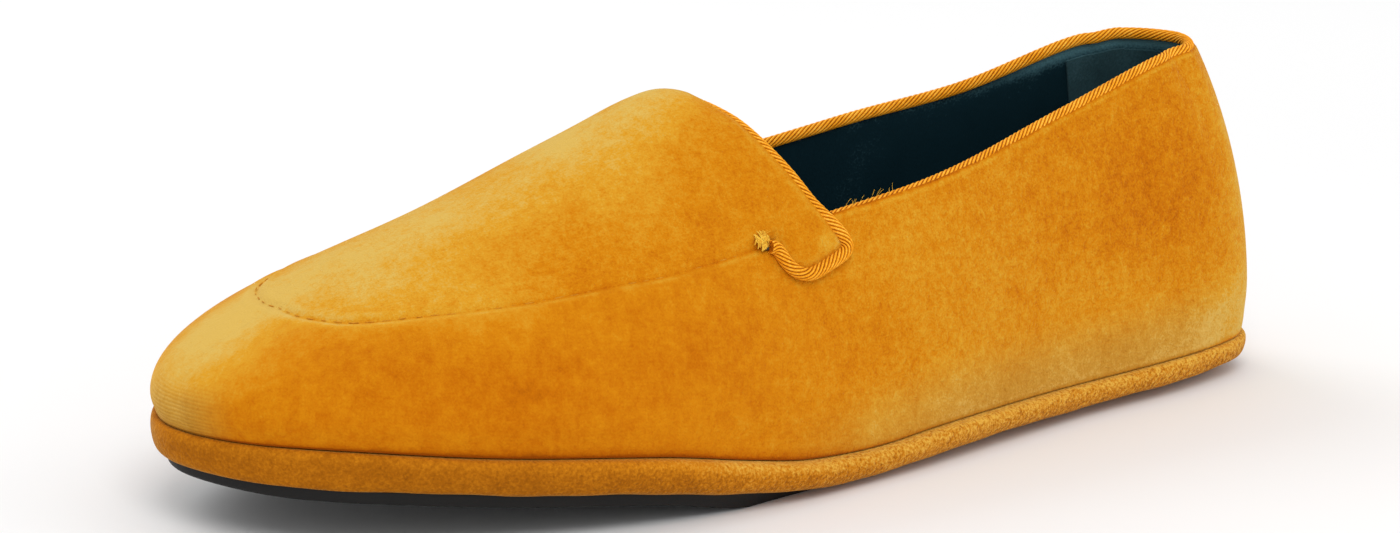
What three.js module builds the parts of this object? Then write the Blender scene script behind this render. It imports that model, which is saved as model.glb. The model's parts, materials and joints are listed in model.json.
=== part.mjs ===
// A velvet loafer for the left foot, empty and standing on its sole.
// Millimetres, +Z up, the floor at z = 0. The toe points to -X, the foot's outer side to -Y.

import * as THREE from 'three';

// Driving sizes
const MIDDLE = 148.5; // the shoe's middle, from the heel's end of the tables
const AXIS_ACROSS = 1.8; // the last's axis lies this far to the inner side of the shoe's middle
const WALL = 2.2; // velvet, stiffener and lining together
const FIT_GAP = 0.3; // between pieces that meet
const HEEL_ROUND = 0.6; // how much of the other side's width pulls the heel's curve square
const RAND_IN = -1; // where the rand's lower edge lies, out from the feather line
const INSOLE_THICK = 2.8;
const INSOLE_EDGE = 0.8; // bevel round the insole's top
const INSOLE_GAP = 0.45; // between the insole's edge and the upper
const OUTSOLE_BEVEL = 0.8; // bevel round the outsole's tread
const PLUG_THICK = 1.3;
const PLUG_SEAM_THICK = 0.5; // the plug thins down to its stitched edge
const PLUG_SEAM_TAPER = 0.16; // share of the way to the ridge over which it thins
const PLUG_LIP = 0.24; // rows over which it also thins down to the throat
const DOME_FROM = 0.6; // share of a section from which the vamp's top rounds over
const DOME_SWELL = 1.2; // how far it swells up ahead of the throat
const DOME_PEAK = 0.435; // rows from the throat to where it swells most
const DOME_WIDTH = 0.3; // rows over which the swell fades
const DOME_DROP = 2.65; // how far it comes down at the throat's edge
const DOME_REACH = 0.275; // rows over which it comes down
const CORD_RADIUS = 1.55;
const CORD_GAP = 0.45; // a cord's facets and its seat's don't line up
const CORD_SIDES = 8;
const COLLAR_CORD_END = 0.1; // rows short of the tab's corner where the collar's cord stops
const CORD_STAYS_UP = 0.018; // rows past the corner along which the plug's cord is still on the quarter
const CORD_COMES_DOWN = 0.12; // rows over which it then comes down to the throat's edge
const CORD_DIPS = 0.3; // how far under the throat's edge it lies on the ridge, in its own reach

// How finely the pieces are cut: levels go up a section, steps along a cord or a stretch of rows.
const UPPER_LEVELS = 12;
const UPPER_STEPS = [8, 12, 6, 7, 12, 6];
const PLUG_LEVELS = 6;
const PLUG_STEPS = [4, 8, 3, 7, 10, 9];
const SOLE_STEPS = [4, 26, 5];
const COLLAR_SEATS = [10, 10];
const COLLAR_CORD_STEPS = 60;
const PLUG_CORD_STEPS = 76;
const COLLAR_PASSES = 40; // halvings in the search for the collar's edge
const SLOPE_STEP = 0.002; // rows and shares over which a direction is taken on the last
const RIM_STEP = 0.02; // share of a section that gives the rim's upward direction
const RIDGE_STEP = 0.05; // rows that give the ridge's direction at the throat
const SAME = 1e-6;

// The last, a row for each section from the heel's back to the toe's tip.
// along, outer, inner: the feather line, from the heel and from the axis to either side.
// ridgeAlong, ridgeAcross, ridgeHeight: where the section ends on the instep's ridge (behind the
// throat, on the cone over the collar). lean: how far the wall swells outwards. wall: share of the
// height that is steep. crown: share of the half width that is flat on top.
const SECTIONS = readTable('along outer inner ridgeAlong ridgeAcross ridgeHeight lean wall crown', [
  [2.5, 0, 0, 60, 0, 110.5, 6, 0.46, 0.61],
  [8.5, 17, 18.8, 63, 0, 110.5, 3.4, 0.42, 0.56],
  [30, 25.2, 26.2, 68, 0, 111, -0.4, 0.38, 0.46],
  [75, 31.5, 29.5, 90, -0.5, 109.5, -1.5, 0.37, 0.42],
  [120, 41, 32, 122, -2, 102.5, -1.5, 0.39, 0.4],
  [165, 48, 39.5, 160, -2, 86.3, -0.5, 0.41, 0.43],
  [200, 49.5, 44.5, 190, -1, 75.8, 1.6, 0.46, 0.44],
  [235, 44, 46, 220, 1, 63.2, 3.4, 0.51, 0.49],
  [264.5, 32.5, 41.5, 244, 3.5, 55.2, 4.8, 0.55, 0.53],
  [286, 16.5, 26.5, 262, 5.5, 48.8, 5, 0.54, 0.56],
  [294.5, -7, 7.5, 270, 6.5, 45.6, 5, 0.5, 0.58],
]);
const LAST_ROW = SECTIONS.length - 1;

// The sole from the side: base is the rand's lower edge over the floor, with the arch and the toe
// spring, rand its height, proud how far it stands out from the feather line, tread the outsole's
// thickness, edge how far out from the feather line the outsole reaches.
const SOLE = readTable('along base rand proud tread edge', [
  [0, 3.9, 5.7, 0.5, 3.9, -7.5],
  [60, 2.6, 6.1, 1.6, 3.2, -7.5],
  [115, 2.6, 6.4, 2.2, 1.6, -6.5],
  [143, 1.5, 6.6, 2.4, 1.4, -5.5],
  [165, 2.2, 7, 2.5, 3.2, -5],
  [180, 4, 7.6, 2.4, 4.1, -4],
  [205, 7.8, 8.3, 2.3, 2.9, -2],
  [245, 11.9, 8.2, 1.8, 2.9, -1.4],
  [280, 14.5, 8.7, 1, 2.9, -1.5],
  [300, 15.3, 7.6, 0.5, 2.9, -4.2],
]);

// The collar's edge from the side, from the heel's back to the tab: its height on the foot's outer and
// inner side.
const COLLAR = readTable('along outer inner', [
  [10, 79, 79],
  [35, 77.3, 77.5],
  [70, 70, 69.5],
  [105, 63.7, 66.2],
  [148, 59.3, 60],
]);

// Edges on the last's surface: row counts sections, rise is the share of the way from the feather
// line to the ridge. The throat is the plug's top edge, from the tab's corner to the ridge.
const THROAT = readTable('row rise', [
  [4.72, 0.474],
  [4.77, 0.507],
  [4.82, 0.548],
  [4.875, 0.594],
  [4.974, 0.681],
  [5.054, 0.773],
  [5.122, 0.86],
  [5.158, 0.925],
  [5.178, 0.97],
  [5.185, 1],
]);

// The plug's stitched edge from the thread bar to the toe, and the tab that hangs behind the bar: its
// lower edge up to the bar, and its back edge from its rear corner up to the throat.
const SEAM = readTable('row rise', [
  [5.08, 0.475],
  [5.12, 0.496],
  [5.17, 0.49],
  [5.24, 0.463],
  [5.6, 0.458],
  [6, 0.458],
  [6.5, 0.487],
  [7, 0.521],
  [7.5, 0.555],
  [8, 0.6],
  [8.4, 0.661],
  [8.7, 0.741],
  [9, 0.83],
  [9.4, 0.95],
  [9.62, 1],
]);
const TAB_LOW = readTable('row rise', [
  [4.628, 0.4005],
  [4.67, 0.396],
  [4.75, 0.392],
  [4.85, 0.387],
  [4.91, 0.387],
  [4.97, 0.398],
  [5.02, 0.418],
  [5.055, 0.447],
  [5.08, 0.475],
]);
const TAB_BACK = readTable('row rise', [
  [4.628, 0.403],
  [4.64, 0.4165],
  [4.67, 0.44],
  [4.72, 0.474],
]);

// The rand's rounded edge, fuller above: out goes from its lower edge to where it stands proud, share
// up its height.
const RAND_EDGE = readTable('out share', [
  [0, 0],
  [0.42, 0.09],
  [0.73, 0.25],
  [0.94, 0.48],
  [1, 0.67],
  [0.94, 0.84],
  [0.76, 0.94],
  [0.45, 0.99],
  [-0.1, 1],
]);

const ROW_CORNER = THROAT[0].row;
const ROW_THROAT = THROAT.at(-1).row;
const ROW_DOME = 5.75; // where the vamp's top begins to swell
const ROW_TIP = SEAM.at(-1).row;
const ROW_BAR = SEAM[0].row;
const ROW_TAB = TAB_LOW[0].row;
const ROW_HEEL_TURN = 1.5; // where the heel's curve runs into the quarters
const ROW_COLLAR_TURN = 2;
const ROW_PLUG_TURN = 8; // where the plug's edge turns round the toe
const ROW_TOE_TURN = 9;
const OUTER = -1;
const INNER = 1;

function readTable(columns, rows) {
  const names = columns.split(' ');
  return rows.map((row) => Object.fromEntries(names.map((name, i) => [name, row[i]])));
}

// Smooth curve through a table's column over another one, with slopes from its neighbours.
function curve(table, over, column, at) {
  const x = table.map((row) => row[over]);
  const y = table.map((row) => row[column]);
  const last = x.length - 1;
  const t = THREE.MathUtils.clamp(at, x[0], x[last]);
  const i = Math.min(Math.max(x.findLastIndex((value) => value <= t), 0), last - 1);
  const slopeAt = (k) => {
    const lower = Math.max(k - 1, 0);
    const upper = Math.min(k + 1, last);
    return (y[upper] - y[lower]) / (x[upper] - x[lower]);
  };
  const span = x[i + 1] - x[i];
  const u = (t - x[i]) / span;
  const rise = y[i + 1] - y[i];
  const enter = slopeAt(i) * span;
  const leave = slopeAt(i + 1) * span;
  return y[i] + u * (enter + u * (3 * rise - 2 * enter - leave + u * (enter + leave - 2 * rise)));
}

// Value and slope at a row of the sections. before and after stand past the two ends.
function throughRows(values, row, before = values[1], after = values.at(-2)) {
  const padded = [before, ...values, after];
  const i = THREE.MathUtils.clamp(Math.floor(row), 0, LAST_ROW - 1);
  const u = row - i;
  const [a, b, c, d] = padded.slice(i, i + 4);
  const first = c - a;
  const second = 2 * a - 5 * b + 4 * c - d;
  const third = 3 * (b - c) + d - a;
  return {
    value: b + 0.5 * u * (first + u * (second + u * third)),
    slope: 0.5 * (first + u * (2 * second + 3 * u * third)),
  };
}

const column = (name) => SECTIONS.map((section) => section[name]);
const soleAt = (name, along) => curve(SOLE, 'along', name, along);
const seamHeight = (along) => soleAt('base', along) + soleAt('rand', along);

// The feather line, where the upper meets the sole, with its outward direction in plan.
function featherLine(side, row) {
  const own = column(side === OUTER ? 'outer' : 'inner');
  const other = column(side === OUTER ? 'inner' : 'outer');
  const across = own.map((width) => side * width);
  across[0] = side * (own[0] - other[0]) / 2;
  across[LAST_ROW] = side * (own[LAST_ROW] - other[LAST_ROW]) / 2;
  const a = throughRows(column('along'), row);
  const c = throughRows(across, row, -side * HEEL_ROUND * other[1], -side * other[LAST_ROW - 1]);
  const size = Math.hypot(a.slope, c.slope);
  return {
    along: a.value,
    across: c.value,
    outAlong: -side * c.slope / size,
    outAcross: side * a.slope / size,
  };
}

// The vamp's top swells a little and then rounds over to the throat's edge.
function domeHeight(row, rise) {
  if (row < ROW_CORNER) return 0;
  const ahead = row - throatRow(rise);
  const swell = DOME_SWELL * Math.exp(-(((ahead - DOME_PEAK) / DOME_WIDTH) ** 2));
  const drop = DOME_DROP * Math.max(0, 1 - ahead / DOME_REACH) ** 2;
  return THREE.MathUtils.smoothstep(rise, DOME_FROM, 1) * (swell - drop);
}

// A point of the last: each section is one curve that starts up the wall and ends flat on the ridge.
function lastPoint(side, row, rise) {
  const foot = featherLine(side, row);
  const footHeight = seamHeight(foot.along);
  const ridgeAlong = throughRows(column('ridgeAlong'), row).value;
  const ridgeHeight = throughRows(column('ridgeHeight'), row).value;
  const ridgeAcross = throughRows(column('ridgeAcross'), row).value;
  const inside = THREE.MathUtils.clamp(row, SLOPE_STEP / 2, LAST_ROW - SLOPE_STEP / 2);
  const ridgeSlope = throughRows(column('ridgeHeight'), inside).slope
    / throughRows(column('ridgeAlong'), inside).slope;
  const lean = throughRows(column('lean'), row).value;
  const wall = throughRows(column('wall'), row).value;
  const crown = throughRows(column('crown'), row).value;
  const flatAlong = crown * (foot.along - ridgeAlong);
  const flatAcross = crown * (foot.across - ridgeAcross);
  const section = new THREE.CubicBezierCurve3(
    new THREE.Vector3(MIDDLE - foot.along, foot.across, footHeight),
    new THREE.Vector3(
      MIDDLE - foot.along - lean * foot.outAlong,
      foot.across + lean * foot.outAcross,
      footHeight + wall * (ridgeHeight - footHeight),
    ),
    new THREE.Vector3(
      MIDDLE - ridgeAlong - flatAlong,
      ridgeAcross + flatAcross,
      ridgeHeight + ridgeSlope * flatAlong,
    ),
    new THREE.Vector3(MIDDLE - ridgeAlong, ridgeAcross, ridgeHeight),
  );
  const point = section.getPoint(rise);
  point.z += domeHeight(row, rise);
  return point;
}

// The last's outward normal, level at the feather line so that the upper's edge stands upright.
function lastNormal(side, row, rise) {
  const rowLow = Math.max(row - SLOPE_STEP, 0);
  const rowHigh = Math.min(row + SLOPE_STEP, LAST_ROW);
  const flat = Math.min(rise, 1 - 2 * SLOPE_STEP);
  const riseLow = Math.max(flat - SLOPE_STEP, 0);
  const riseHigh = riseLow + 2 * SLOPE_STEP;
  const alongRow = lastPoint(side, rowHigh, flat).sub(lastPoint(side, rowLow, flat));
  const alongRise = lastPoint(side, row, riseHigh).sub(lastPoint(side, row, riseLow));
  const normal = alongRow.cross(alongRise).multiplyScalar(side);
  if (rise === 0) normal.z = 0;
  if (rise === 1) normal.y = 0;
  return normal.normalize();
}

function shellPoint(side, row, rise, offset) {
  return lastPoint(side, row, rise).addScaledVector(lastNormal(side, row, rise), offset);
}

// Where a section's wall reaches the collar's edge.
function collarRise(side, row) {
  let low = 0;
  let high = 1;
  for (let pass = 0; pass < COLLAR_PASSES; pass += 1) {
    const middle = (low + high) / 2;
    const point = lastPoint(side, row, middle);
    const edge = curve(COLLAR, 'along', side === OUTER ? 'outer' : 'inner', MIDDLE - point.x);
    if (point.z < edge) low = middle;
    else high = middle;
  }
  return low;
}

const throatRise = (row) => curve(THROAT, 'row', 'rise', row);
const throatRow = (rise) => curve(THROAT, 'rise', 'row', rise);

function upperTop(side, row) {
  if (row < ROW_CORNER) return collarRise(side, row);
  return row < ROW_THROAT ? throatRise(row) : 1;
}

function plugTop(row) {
  if (row < ROW_CORNER) return curve(TAB_BACK, 'row', 'rise', row);
  return row < ROW_THROAT ? throatRise(row) : 1;
}

function plugLow(row) {
  return curve(row < ROW_BAR ? TAB_LOW : SEAM, 'row', 'rise', row);
}

// Rows from one end of a list of stops to the other, with a count of steps for each stretch.
function spread(stops, counts) {
  const rows = [stops[0]];
  counts.forEach((count, i) => {
    for (let k = 1; k <= count; k += 1) {
      rows.push(stops[i] + (stops[i + 1] - stops[i]) * k / count);
    }
  });
  return rows;
}

function meshGeometry(points, triangles) {
  const geometry = new THREE.BufferGeometry();
  const positions = points.flatMap((point) => point.toArray());
  geometry.setAttribute('position', new THREE.Float32BufferAttribute(positions, 3));
  geometry.setIndex(triangles.flat());
  geometry.computeVertexNormals();
  return geometry;
}

// A closed wall over both sides of the last, between two offsets of its surface. From the throat
// forwards the sides join on the ridge, and at the toe's end of the rows they join as well.
function shellGeometry({ rows, levels, low, high, inside, outside, heelJoins }) {
  const points = [];
  const triangles = [];
  const known = new Map();
  const lastIndex = rows.length - 1;
  const vertex = (layer, side, i, k) => {
    const onRidge = k === levels && rows[i] >= ROW_THROAT;
    const joined = onRidge || i === lastIndex || (heelJoins && i === 0);
    const from = low(side, rows[i]);
    const to = high(side, rows[i]);
    const level = to - from < SAME ? levels : k;
    const key = [layer, joined ? OUTER : side, i, level].join(' ');
    if (!known.has(key)) {
      const rise = level === levels ? to : from + (to - from) * level / levels;
      const offset = layer === 'in' ? inside(rows[i], rise) : outside(rows[i], rise);
      known.set(key, points.push(shellPoint(joined ? OUTER : side, rows[i], rise, offset)) - 1);
    }
    return known.get(key);
  };
  const quad = (a, b, c, d, flip) => {
    const halves = flip ? [[a, c, b], [a, d, c]] : [[a, b, c], [a, c, d]];
    triangles.push(...halves.filter((t) => new Set(t).size === 3));
  };
  for (const side of [OUTER, INNER]) {
    const out = side === OUTER;
    for (let i = 0; i < lastIndex; i += 1) {
      for (let k = 0; k < levels; k += 1) {
        for (const layer of ['in', 'out']) {
          const corners = [[i, k], [i + 1, k], [i + 1, k + 1], [i, k + 1]];
          quad(...corners.map(([row, level]) => vertex(layer, side, row, level)),
            (layer === 'out') === out);
        }
      }
      quad(vertex('in', side, i, 0), vertex('in', side, i + 1, 0),
        vertex('out', side, i + 1, 0), vertex('out', side, i, 0), out);
      if (rows[i + 1] <= ROW_THROAT) {
        quad(vertex('in', side, i, levels), vertex('in', side, i + 1, levels),
          vertex('out', side, i + 1, levels), vertex('out', side, i, levels), !out);
      }
    }
    for (let k = 0; k < levels && !heelJoins; k += 1) {
      quad(vertex('in', side, 0, k), vertex('in', side, 0, k + 1),
        vertex('out', side, 0, k + 1), vertex('out', side, 0, k), !out);
    }
  }
  return meshGeometry(points, triangles);
}

// A closed plate from rings round the foot, listed from the bottom up. Each ring gives how far it
// stands out from the feather line and its height, both over the distance from the heel.
function plateGeometry(rings) {
  const rows = spread([0, 1, LAST_ROW - 1, LAST_ROW], SOLE_STEPS);
  const count = rows.length;
  const around = [
    ...rows.map((row) => [OUTER, row]),
    ...rows.slice(1, -1).reverse().map((row) => [INNER, row]),
  ];
  const size = around.length;
  const points = rings.flatMap(({ grow, height }) => around.map(([side, row]) => {
    const line = featherLine(side, row);
    const out = grow(line.along);
    const along = line.along + out * line.outAlong;
    return new THREE.Vector3(MIDDLE - along, line.across + out * line.outAcross, height(along));
  }));
  const triangles = [];
  for (let ring = 0; ring < rings.length - 1; ring += 1) {
    for (let i = 0; i < size; i += 1) {
      const next = (i + 1) % size;
      const a = ring * size + i;
      const b = ring * size + next;
      triangles.push([a, b + size, b], [a, a + size, b + size]);
    }
  }
  const opposite = (i) => (size - i) % size;
  for (const [ring, flip] of [[0, false], [rings.length - 1, true]]) {
    const at = (i) => ring * size + i;
    for (let i = 0; i < count - 1; i += 1) {
      const quad = [at(i), at(i + 1), at(opposite(i + 1)), at(opposite(i))];
      const halves = [[quad[0], quad[1], quad[2]], [quad[0], quad[2], quad[3]]];
      for (const half of halves) {
        if (new Set(half).size === 3) triangles.push(flip ? [half[0], half[2], half[1]] : half);
      }
    }
  }
  return meshGeometry(points, triangles);
}

function upperGeometry() {
  return shellGeometry({
    rows: spread([0, ROW_HEEL_TURN, ROW_CORNER, ROW_THROAT, ROW_DOME, ROW_TOE_TURN, LAST_ROW], UPPER_STEPS),
    levels: UPPER_LEVELS,
    low: () => 0,
    high: upperTop,
    inside: () => -WALL,
    outside: () => 0,
    heelJoins: true,
  });
}

function plugGeometry() {
  const thick = (row, rise) => {
    const fromSeam = row < ROW_BAR ? 1 : (rise - plugLow(row)) / PLUG_SEAM_TAPER;
    const fromThroat = row < ROW_CORNER ? 1 : (row - throatRow(rise)) / PLUG_LIP;
    const full = THREE.MathUtils.clamp(Math.min(fromSeam, fromThroat), 0, 1);
    return THREE.MathUtils.lerp(PLUG_SEAM_THICK, PLUG_THICK, full);
  };
  return shellGeometry({
    rows: spread([ROW_TAB, ROW_CORNER, ROW_BAR, ROW_THROAT, ROW_DOME, ROW_PLUG_TURN, ROW_TIP], PLUG_STEPS),
    levels: PLUG_LEVELS,
    low: (side, row) => plugLow(row),
    high: (side, row) => plugTop(row),
    inside: () => FIT_GAP,
    outside: (row, rise) => FIT_GAP + thick(row, rise),
    heelJoins: false,
  });
}

function midsoleGeometry() {
  return plateGeometry(RAND_EDGE.map(({ out, share }) => ({
    grow: (along) => THREE.MathUtils.lerp(RAND_IN, soleAt('proud', along), out),
    height: (along) => soleAt('base', along) + share * (soleAt('rand', along) - FIT_GAP),
  })));
}

function outsoleGeometry() {
  const tread = (along) => Math.max(0, soleAt('base', along) - soleAt('tread', along));
  const edge = (along) => soleAt('edge', along);
  return plateGeometry([
    { grow: (along) => edge(along) - OUTSOLE_BEVEL, height: tread },
    { grow: edge, height: (along) => tread(along) + OUTSOLE_BEVEL },
    { grow: edge, height: (along) => soleAt('base', along) - FIT_GAP },
  ]);
}

function insoleGeometry() {
  const inner = -WALL - INSOLE_GAP;
  return plateGeometry([
    { grow: () => inner, height: seamHeight },
    { grow: () => inner, height: (along) => seamHeight(along) + INSOLE_THICK - INSOLE_EDGE },
    { grow: () => inner - INSOLE_EDGE, height: (along) => seamHeight(along) + INSOLE_THICK },
  ]);
}

function cordGeometry(path, steps) {
  const round = new THREE.Shape().absarc(0, 0, CORD_RADIUS, 0, 2 * Math.PI);
  return new THREE.ExtrudeGeometry(round, {
    curveSegments: CORD_SIDES / 2,
    steps,
    bevelEnabled: false,
    extrudePath: path,
  });
}

// The collar's cord sits on the rim, over the middle of the wall.
function collarCordGeometry() {
  const seat = (side, row) => {
    const rise = collarRise(side, row);
    const below = shellPoint(side, row, rise - RIM_STEP, -WALL / 2);
    const rim = shellPoint(side, row, rise, -WALL / 2);
    const up = rim.clone().sub(below).normalize();
    return rim.addScaledVector(up, CORD_RADIUS + CORD_GAP);
  };
  const rows = spread([ROW_CORNER - COLLAR_CORD_END, ROW_COLLAR_TURN, 0], COLLAR_SEATS);
  const points = [
    ...rows.map((row) => seat(OUTER, row)),
    ...rows.slice(0, -1).reverse().map((row) => seat(INNER, row)),
  ];
  return cordGeometry(new THREE.CatmullRomCurve3(points), COLLAR_CORD_STEPS);
}

// The plug's cord lies just outside the plug's edge: on the quarter round the tab, and, once it has
// come down from there, on the throat's edge.
function plugCordGeometry() {
  const route = [...TAB_LOW.toReversed(), ...TAB_BACK.slice(1), ...THROAT.slice(1, -1)];
  const reach = CORD_RADIUS + CORD_GAP;
  const seat = (side, i) => {
    const { row, rise } = route[i];
    const before = route[Math.max(i - 1, 0)];
    const after = route[Math.min(i + 1, route.length - 1)];
    const pastCorner = i < TAB_LOW.length ? 0 : row - ROW_CORNER;
    const down = (pastCorner - CORD_STAYS_UP) / CORD_COMES_DOWN;
    const dip = CORD_DIPS * pastCorner / (ROW_THROAT - ROW_CORNER);
    const lift = THREE.MathUtils.clamp(1 - down, 0, 1) - dip;
    const normal = lastNormal(side, row, rise);
    const ahead = lastPoint(side, after.row, after.rise).sub(lastPoint(side, before.row, before.rise));
    const away = ahead.cross(normal).normalize().multiplyScalar(-side);
    return lastPoint(side, row, rise).addScaledVector(away, reach).addScaledVector(normal, lift * reach);
  };
  const sides = [OUTER, INNER].map((side) => route.map((stop, i) => seat(side, i)));
  const ridge = lastPoint(OUTER, ROW_THROAT, 1);
  const back = ridge.clone().sub(lastPoint(OUTER, ROW_THROAT + RIDGE_STEP, 1)).normalize();
  ridge.addScaledVector(back, reach);
  ridge.addScaledVector(lastNormal(OUTER, ROW_THROAT, 1), -CORD_DIPS * reach);
  const points = [...sides[0], ridge, ...sides[1].reverse()];
  return cordGeometry(new THREE.CatmullRomCurve3(points), PLUG_CORD_STEPS);
}

const velvet = { color: 0xc98218, roughness: 0.95, metalness: 0 };
const cordLook = { color: 0xc58a2b, roughness: 0.75, metalness: 0 };

const group = new THREE.Group();
function add(name, geometry, look) {
  const mesh = new THREE.Mesh(geometry, new THREE.MeshStandardMaterial(look));
  mesh.name = name;
  mesh.geometry.translate(0, AXIS_ACROSS, 0);
  group.add(mesh);
}

add('outsole', outsoleGeometry(), { color: 0x2d2622, roughness: 0.8, metalness: 0 });
add('wrapped_midsole', midsoleGeometry(), { ...velvet, color: 0xa56419 });
add('insole', insoleGeometry(), { color: 0x0a1e24, roughness: 0.6, metalness: 0 });
add('upper', upperGeometry(), velvet);
add('plug', plugGeometry(), velvet);
add('collar_cord', collarCordGeometry(), cordLook);
add('plug_cord', plugCordGeometry(), cordLook);

export default group;
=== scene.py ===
"""A velvet loafer for the left foot: its cloth, cords, lining and sole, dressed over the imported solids."""
import json
import math

import bpy
import numpy as np
from mathutils import Matrix, Vector

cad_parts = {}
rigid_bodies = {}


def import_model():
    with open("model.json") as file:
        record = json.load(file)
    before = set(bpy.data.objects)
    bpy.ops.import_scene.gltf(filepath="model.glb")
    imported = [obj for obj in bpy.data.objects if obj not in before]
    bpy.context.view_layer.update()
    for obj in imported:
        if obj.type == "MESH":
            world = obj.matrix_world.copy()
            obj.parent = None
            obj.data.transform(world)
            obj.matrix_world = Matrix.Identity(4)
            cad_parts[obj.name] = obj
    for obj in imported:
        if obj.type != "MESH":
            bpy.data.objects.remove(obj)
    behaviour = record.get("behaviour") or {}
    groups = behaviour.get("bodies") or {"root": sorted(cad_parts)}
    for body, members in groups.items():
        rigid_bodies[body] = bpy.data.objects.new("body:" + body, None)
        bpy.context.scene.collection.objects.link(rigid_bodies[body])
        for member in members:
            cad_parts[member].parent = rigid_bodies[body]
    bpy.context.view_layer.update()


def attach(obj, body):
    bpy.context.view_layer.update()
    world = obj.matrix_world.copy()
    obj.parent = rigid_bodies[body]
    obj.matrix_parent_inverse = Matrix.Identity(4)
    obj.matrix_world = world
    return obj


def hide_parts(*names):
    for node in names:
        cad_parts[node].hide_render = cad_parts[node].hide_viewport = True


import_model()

MM = 0.001
OUTER, INNER = -1, 1
SEED = 7

# The shoe's own sizes, in millimetres, as its solids have them
MIDDLE = 148.5
AXIS_ACROSS = 1.8
WALL = 2.2
HEEL_ROUND = 0.6
RAND_IN = -1.0
INSOLE_THICK = 2.8
INSOLE_GAP = 0.45
OUTSOLE_BEVEL = 0.8
FIT_GAP = 0.3
PLUG_RISE = 1.6
DOME_FROM, DOME_SWELL, DOME_PEAK, DOME_WIDTH, DOME_DROP, DOME_REACH = 0.6, 1.2, 0.435, 0.3, 2.65, 0.275
COLLAR_CORD_END = 0.1
CORD_STAYS_UP = 0.018
CORD_COMES_DOWN = 0.12
CORD_DIPS = 0.3


def table(columns, rows):
    return dict(zip(columns.split(), np.array(rows, float).T))


def sided_table(columns, outer, inner):
    return table("side " + columns, [[OUTER, *row] for row in outer] + [[INNER, *row] for row in inner])


# The last, section by section from the heel's back to the toe's tip
SECTIONS = table("along outer inner ridge_along ridge_across ridge_height lean wall crown", [
    [2.5, 0, 0, 60, 0, 110.5, 6, 0.46, 0.61],
    [8.5, 17, 18.8, 63, 0, 110.5, 3.4, 0.42, 0.56],
    [30, 25.2, 26.2, 68, 0, 111, -0.4, 0.38, 0.46],
    [75, 31.5, 29.5, 90, -0.5, 109.5, -1.5, 0.37, 0.42],
    [120, 41, 32, 122, -2, 102.5, -1.5, 0.39, 0.4],
    [165, 48, 39.5, 160, -2, 86.3, -0.5, 0.41, 0.43],
    [200, 49.5, 44.5, 190, -1, 75.8, 1.6, 0.46, 0.44],
    [235, 44, 46, 220, 1, 63.2, 3.4, 0.51, 0.49],
    [264.5, 32.5, 41.5, 244, 3.5, 55.2, 4.8, 0.55, 0.53],
    [286, 16.5, 26.5, 262, 5.5, 48.8, 5, 0.54, 0.56],
    [294.5, -7, 7.5, 270, 6.5, 45.6, 5, 0.5, 0.58],
])
LAST_ROW = 10
SOLE = table("along base rand proud tread edge", [
    [0, 3.9, 5.7, 0.5, 3.9, -7.5],
    [60, 2.6, 6.1, 1.6, 3.2, -7.5],
    [115, 2.6, 6.4, 2.2, 1.6, -6.5],
    [143, 1.5, 6.6, 2.4, 1.4, -5.5],
    [165, 2.2, 7, 2.5, 3.2, -5],
    [180, 4, 7.6, 2.4, 4.1, -4],
    [205, 7.8, 8.3, 2.3, 2.9, -2],
    [245, 11.9, 8.2, 1.8, 2.9, -1.4],
    [280, 14.5, 8.7, 1, 2.9, -1.5],
    [300, 15.3, 7.6, 0.5, 2.9, -4.2],
])
COLLAR = table("along outer inner", [
    [10, 79, 79], [35, 77.3, 77.5], [70, 70, 69.5], [105, 63.7, 66.2], [148, 59.3, 60],
])
THROAT = table("row rise", [
    [4.72, 0.474], [4.77, 0.507], [4.82, 0.548], [4.875, 0.594], [4.974, 0.681],
    [5.054, 0.773], [5.122, 0.86], [5.158, 0.925], [5.178, 0.97], [5.185, 1],
])
SEAM = table("row rise", [
    [5.08, 0.463], [5.24, 0.46], [5.6, 0.458], [6, 0.458], [6.5, 0.487], [7, 0.521], [7.5, 0.555],
    [8, 0.6], [8.4, 0.661], [8.7, 0.741], [9, 0.83], [9.4, 0.95], [9.62, 1],
])
TAB_LOW = table("row rise", [
    [4.628, 0.4005], [4.67, 0.396], [4.75, 0.392], [4.85, 0.387], [4.91, 0.387],
    [4.97, 0.398], [5.02, 0.418], [5.055, 0.447], [5.08, 0.463],
])
TAB_BACK = table("row rise", [[4.628, 0.403], [4.64, 0.4165], [4.67, 0.44], [4.72, 0.474]])
RAND_EDGE = table("out share", [
    [0, 0], [0.42, 0.09], [0.73, 0.25], [0.94, 0.48], [1, 0.67], [0.94, 0.84], [0.76, 0.94], [0.45, 0.99],
    [-0.1, 1],
])
ROW_CORNER, ROW_THROAT = THROAT["row"][0], THROAT["row"][-1]
ROW_BAR, ROW_TIP = SEAM["row"][0], SEAM["row"][-1]
ROW_TAB = TAB_LOW["row"][0]

# Soft troughs in the cloth: from one place on the last to another, width and depth in millimetres.
# A depth under nought is a ridge.
TROUGHS = sided_table("row rise to_row to_rise width depth", [
    [4.2, 0.1, 4.9, 0.3, 9, 0.5], [5.5, 0.08, 6.4, 0.2, 8, 0.5], [7.6, 0.25, 8.6, 0.3, 9, 0.45],
    [9.88, 0.17, 9.95, 0.34, 3.2, 0.9], [2.2, 0.1, 2.4, 0.4, 8, 0.4], [1.2, 0.08, 2.9, 0.1, 6, -0.35],
], [
    [4.4, 0.12, 5.2, 0.26, 9, 0.5], [6.2, 0.1, 7.1, 0.24, 8, 0.45], [2.4, 0.12, 2.6, 0.42, 8, 0.4],
])

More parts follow.
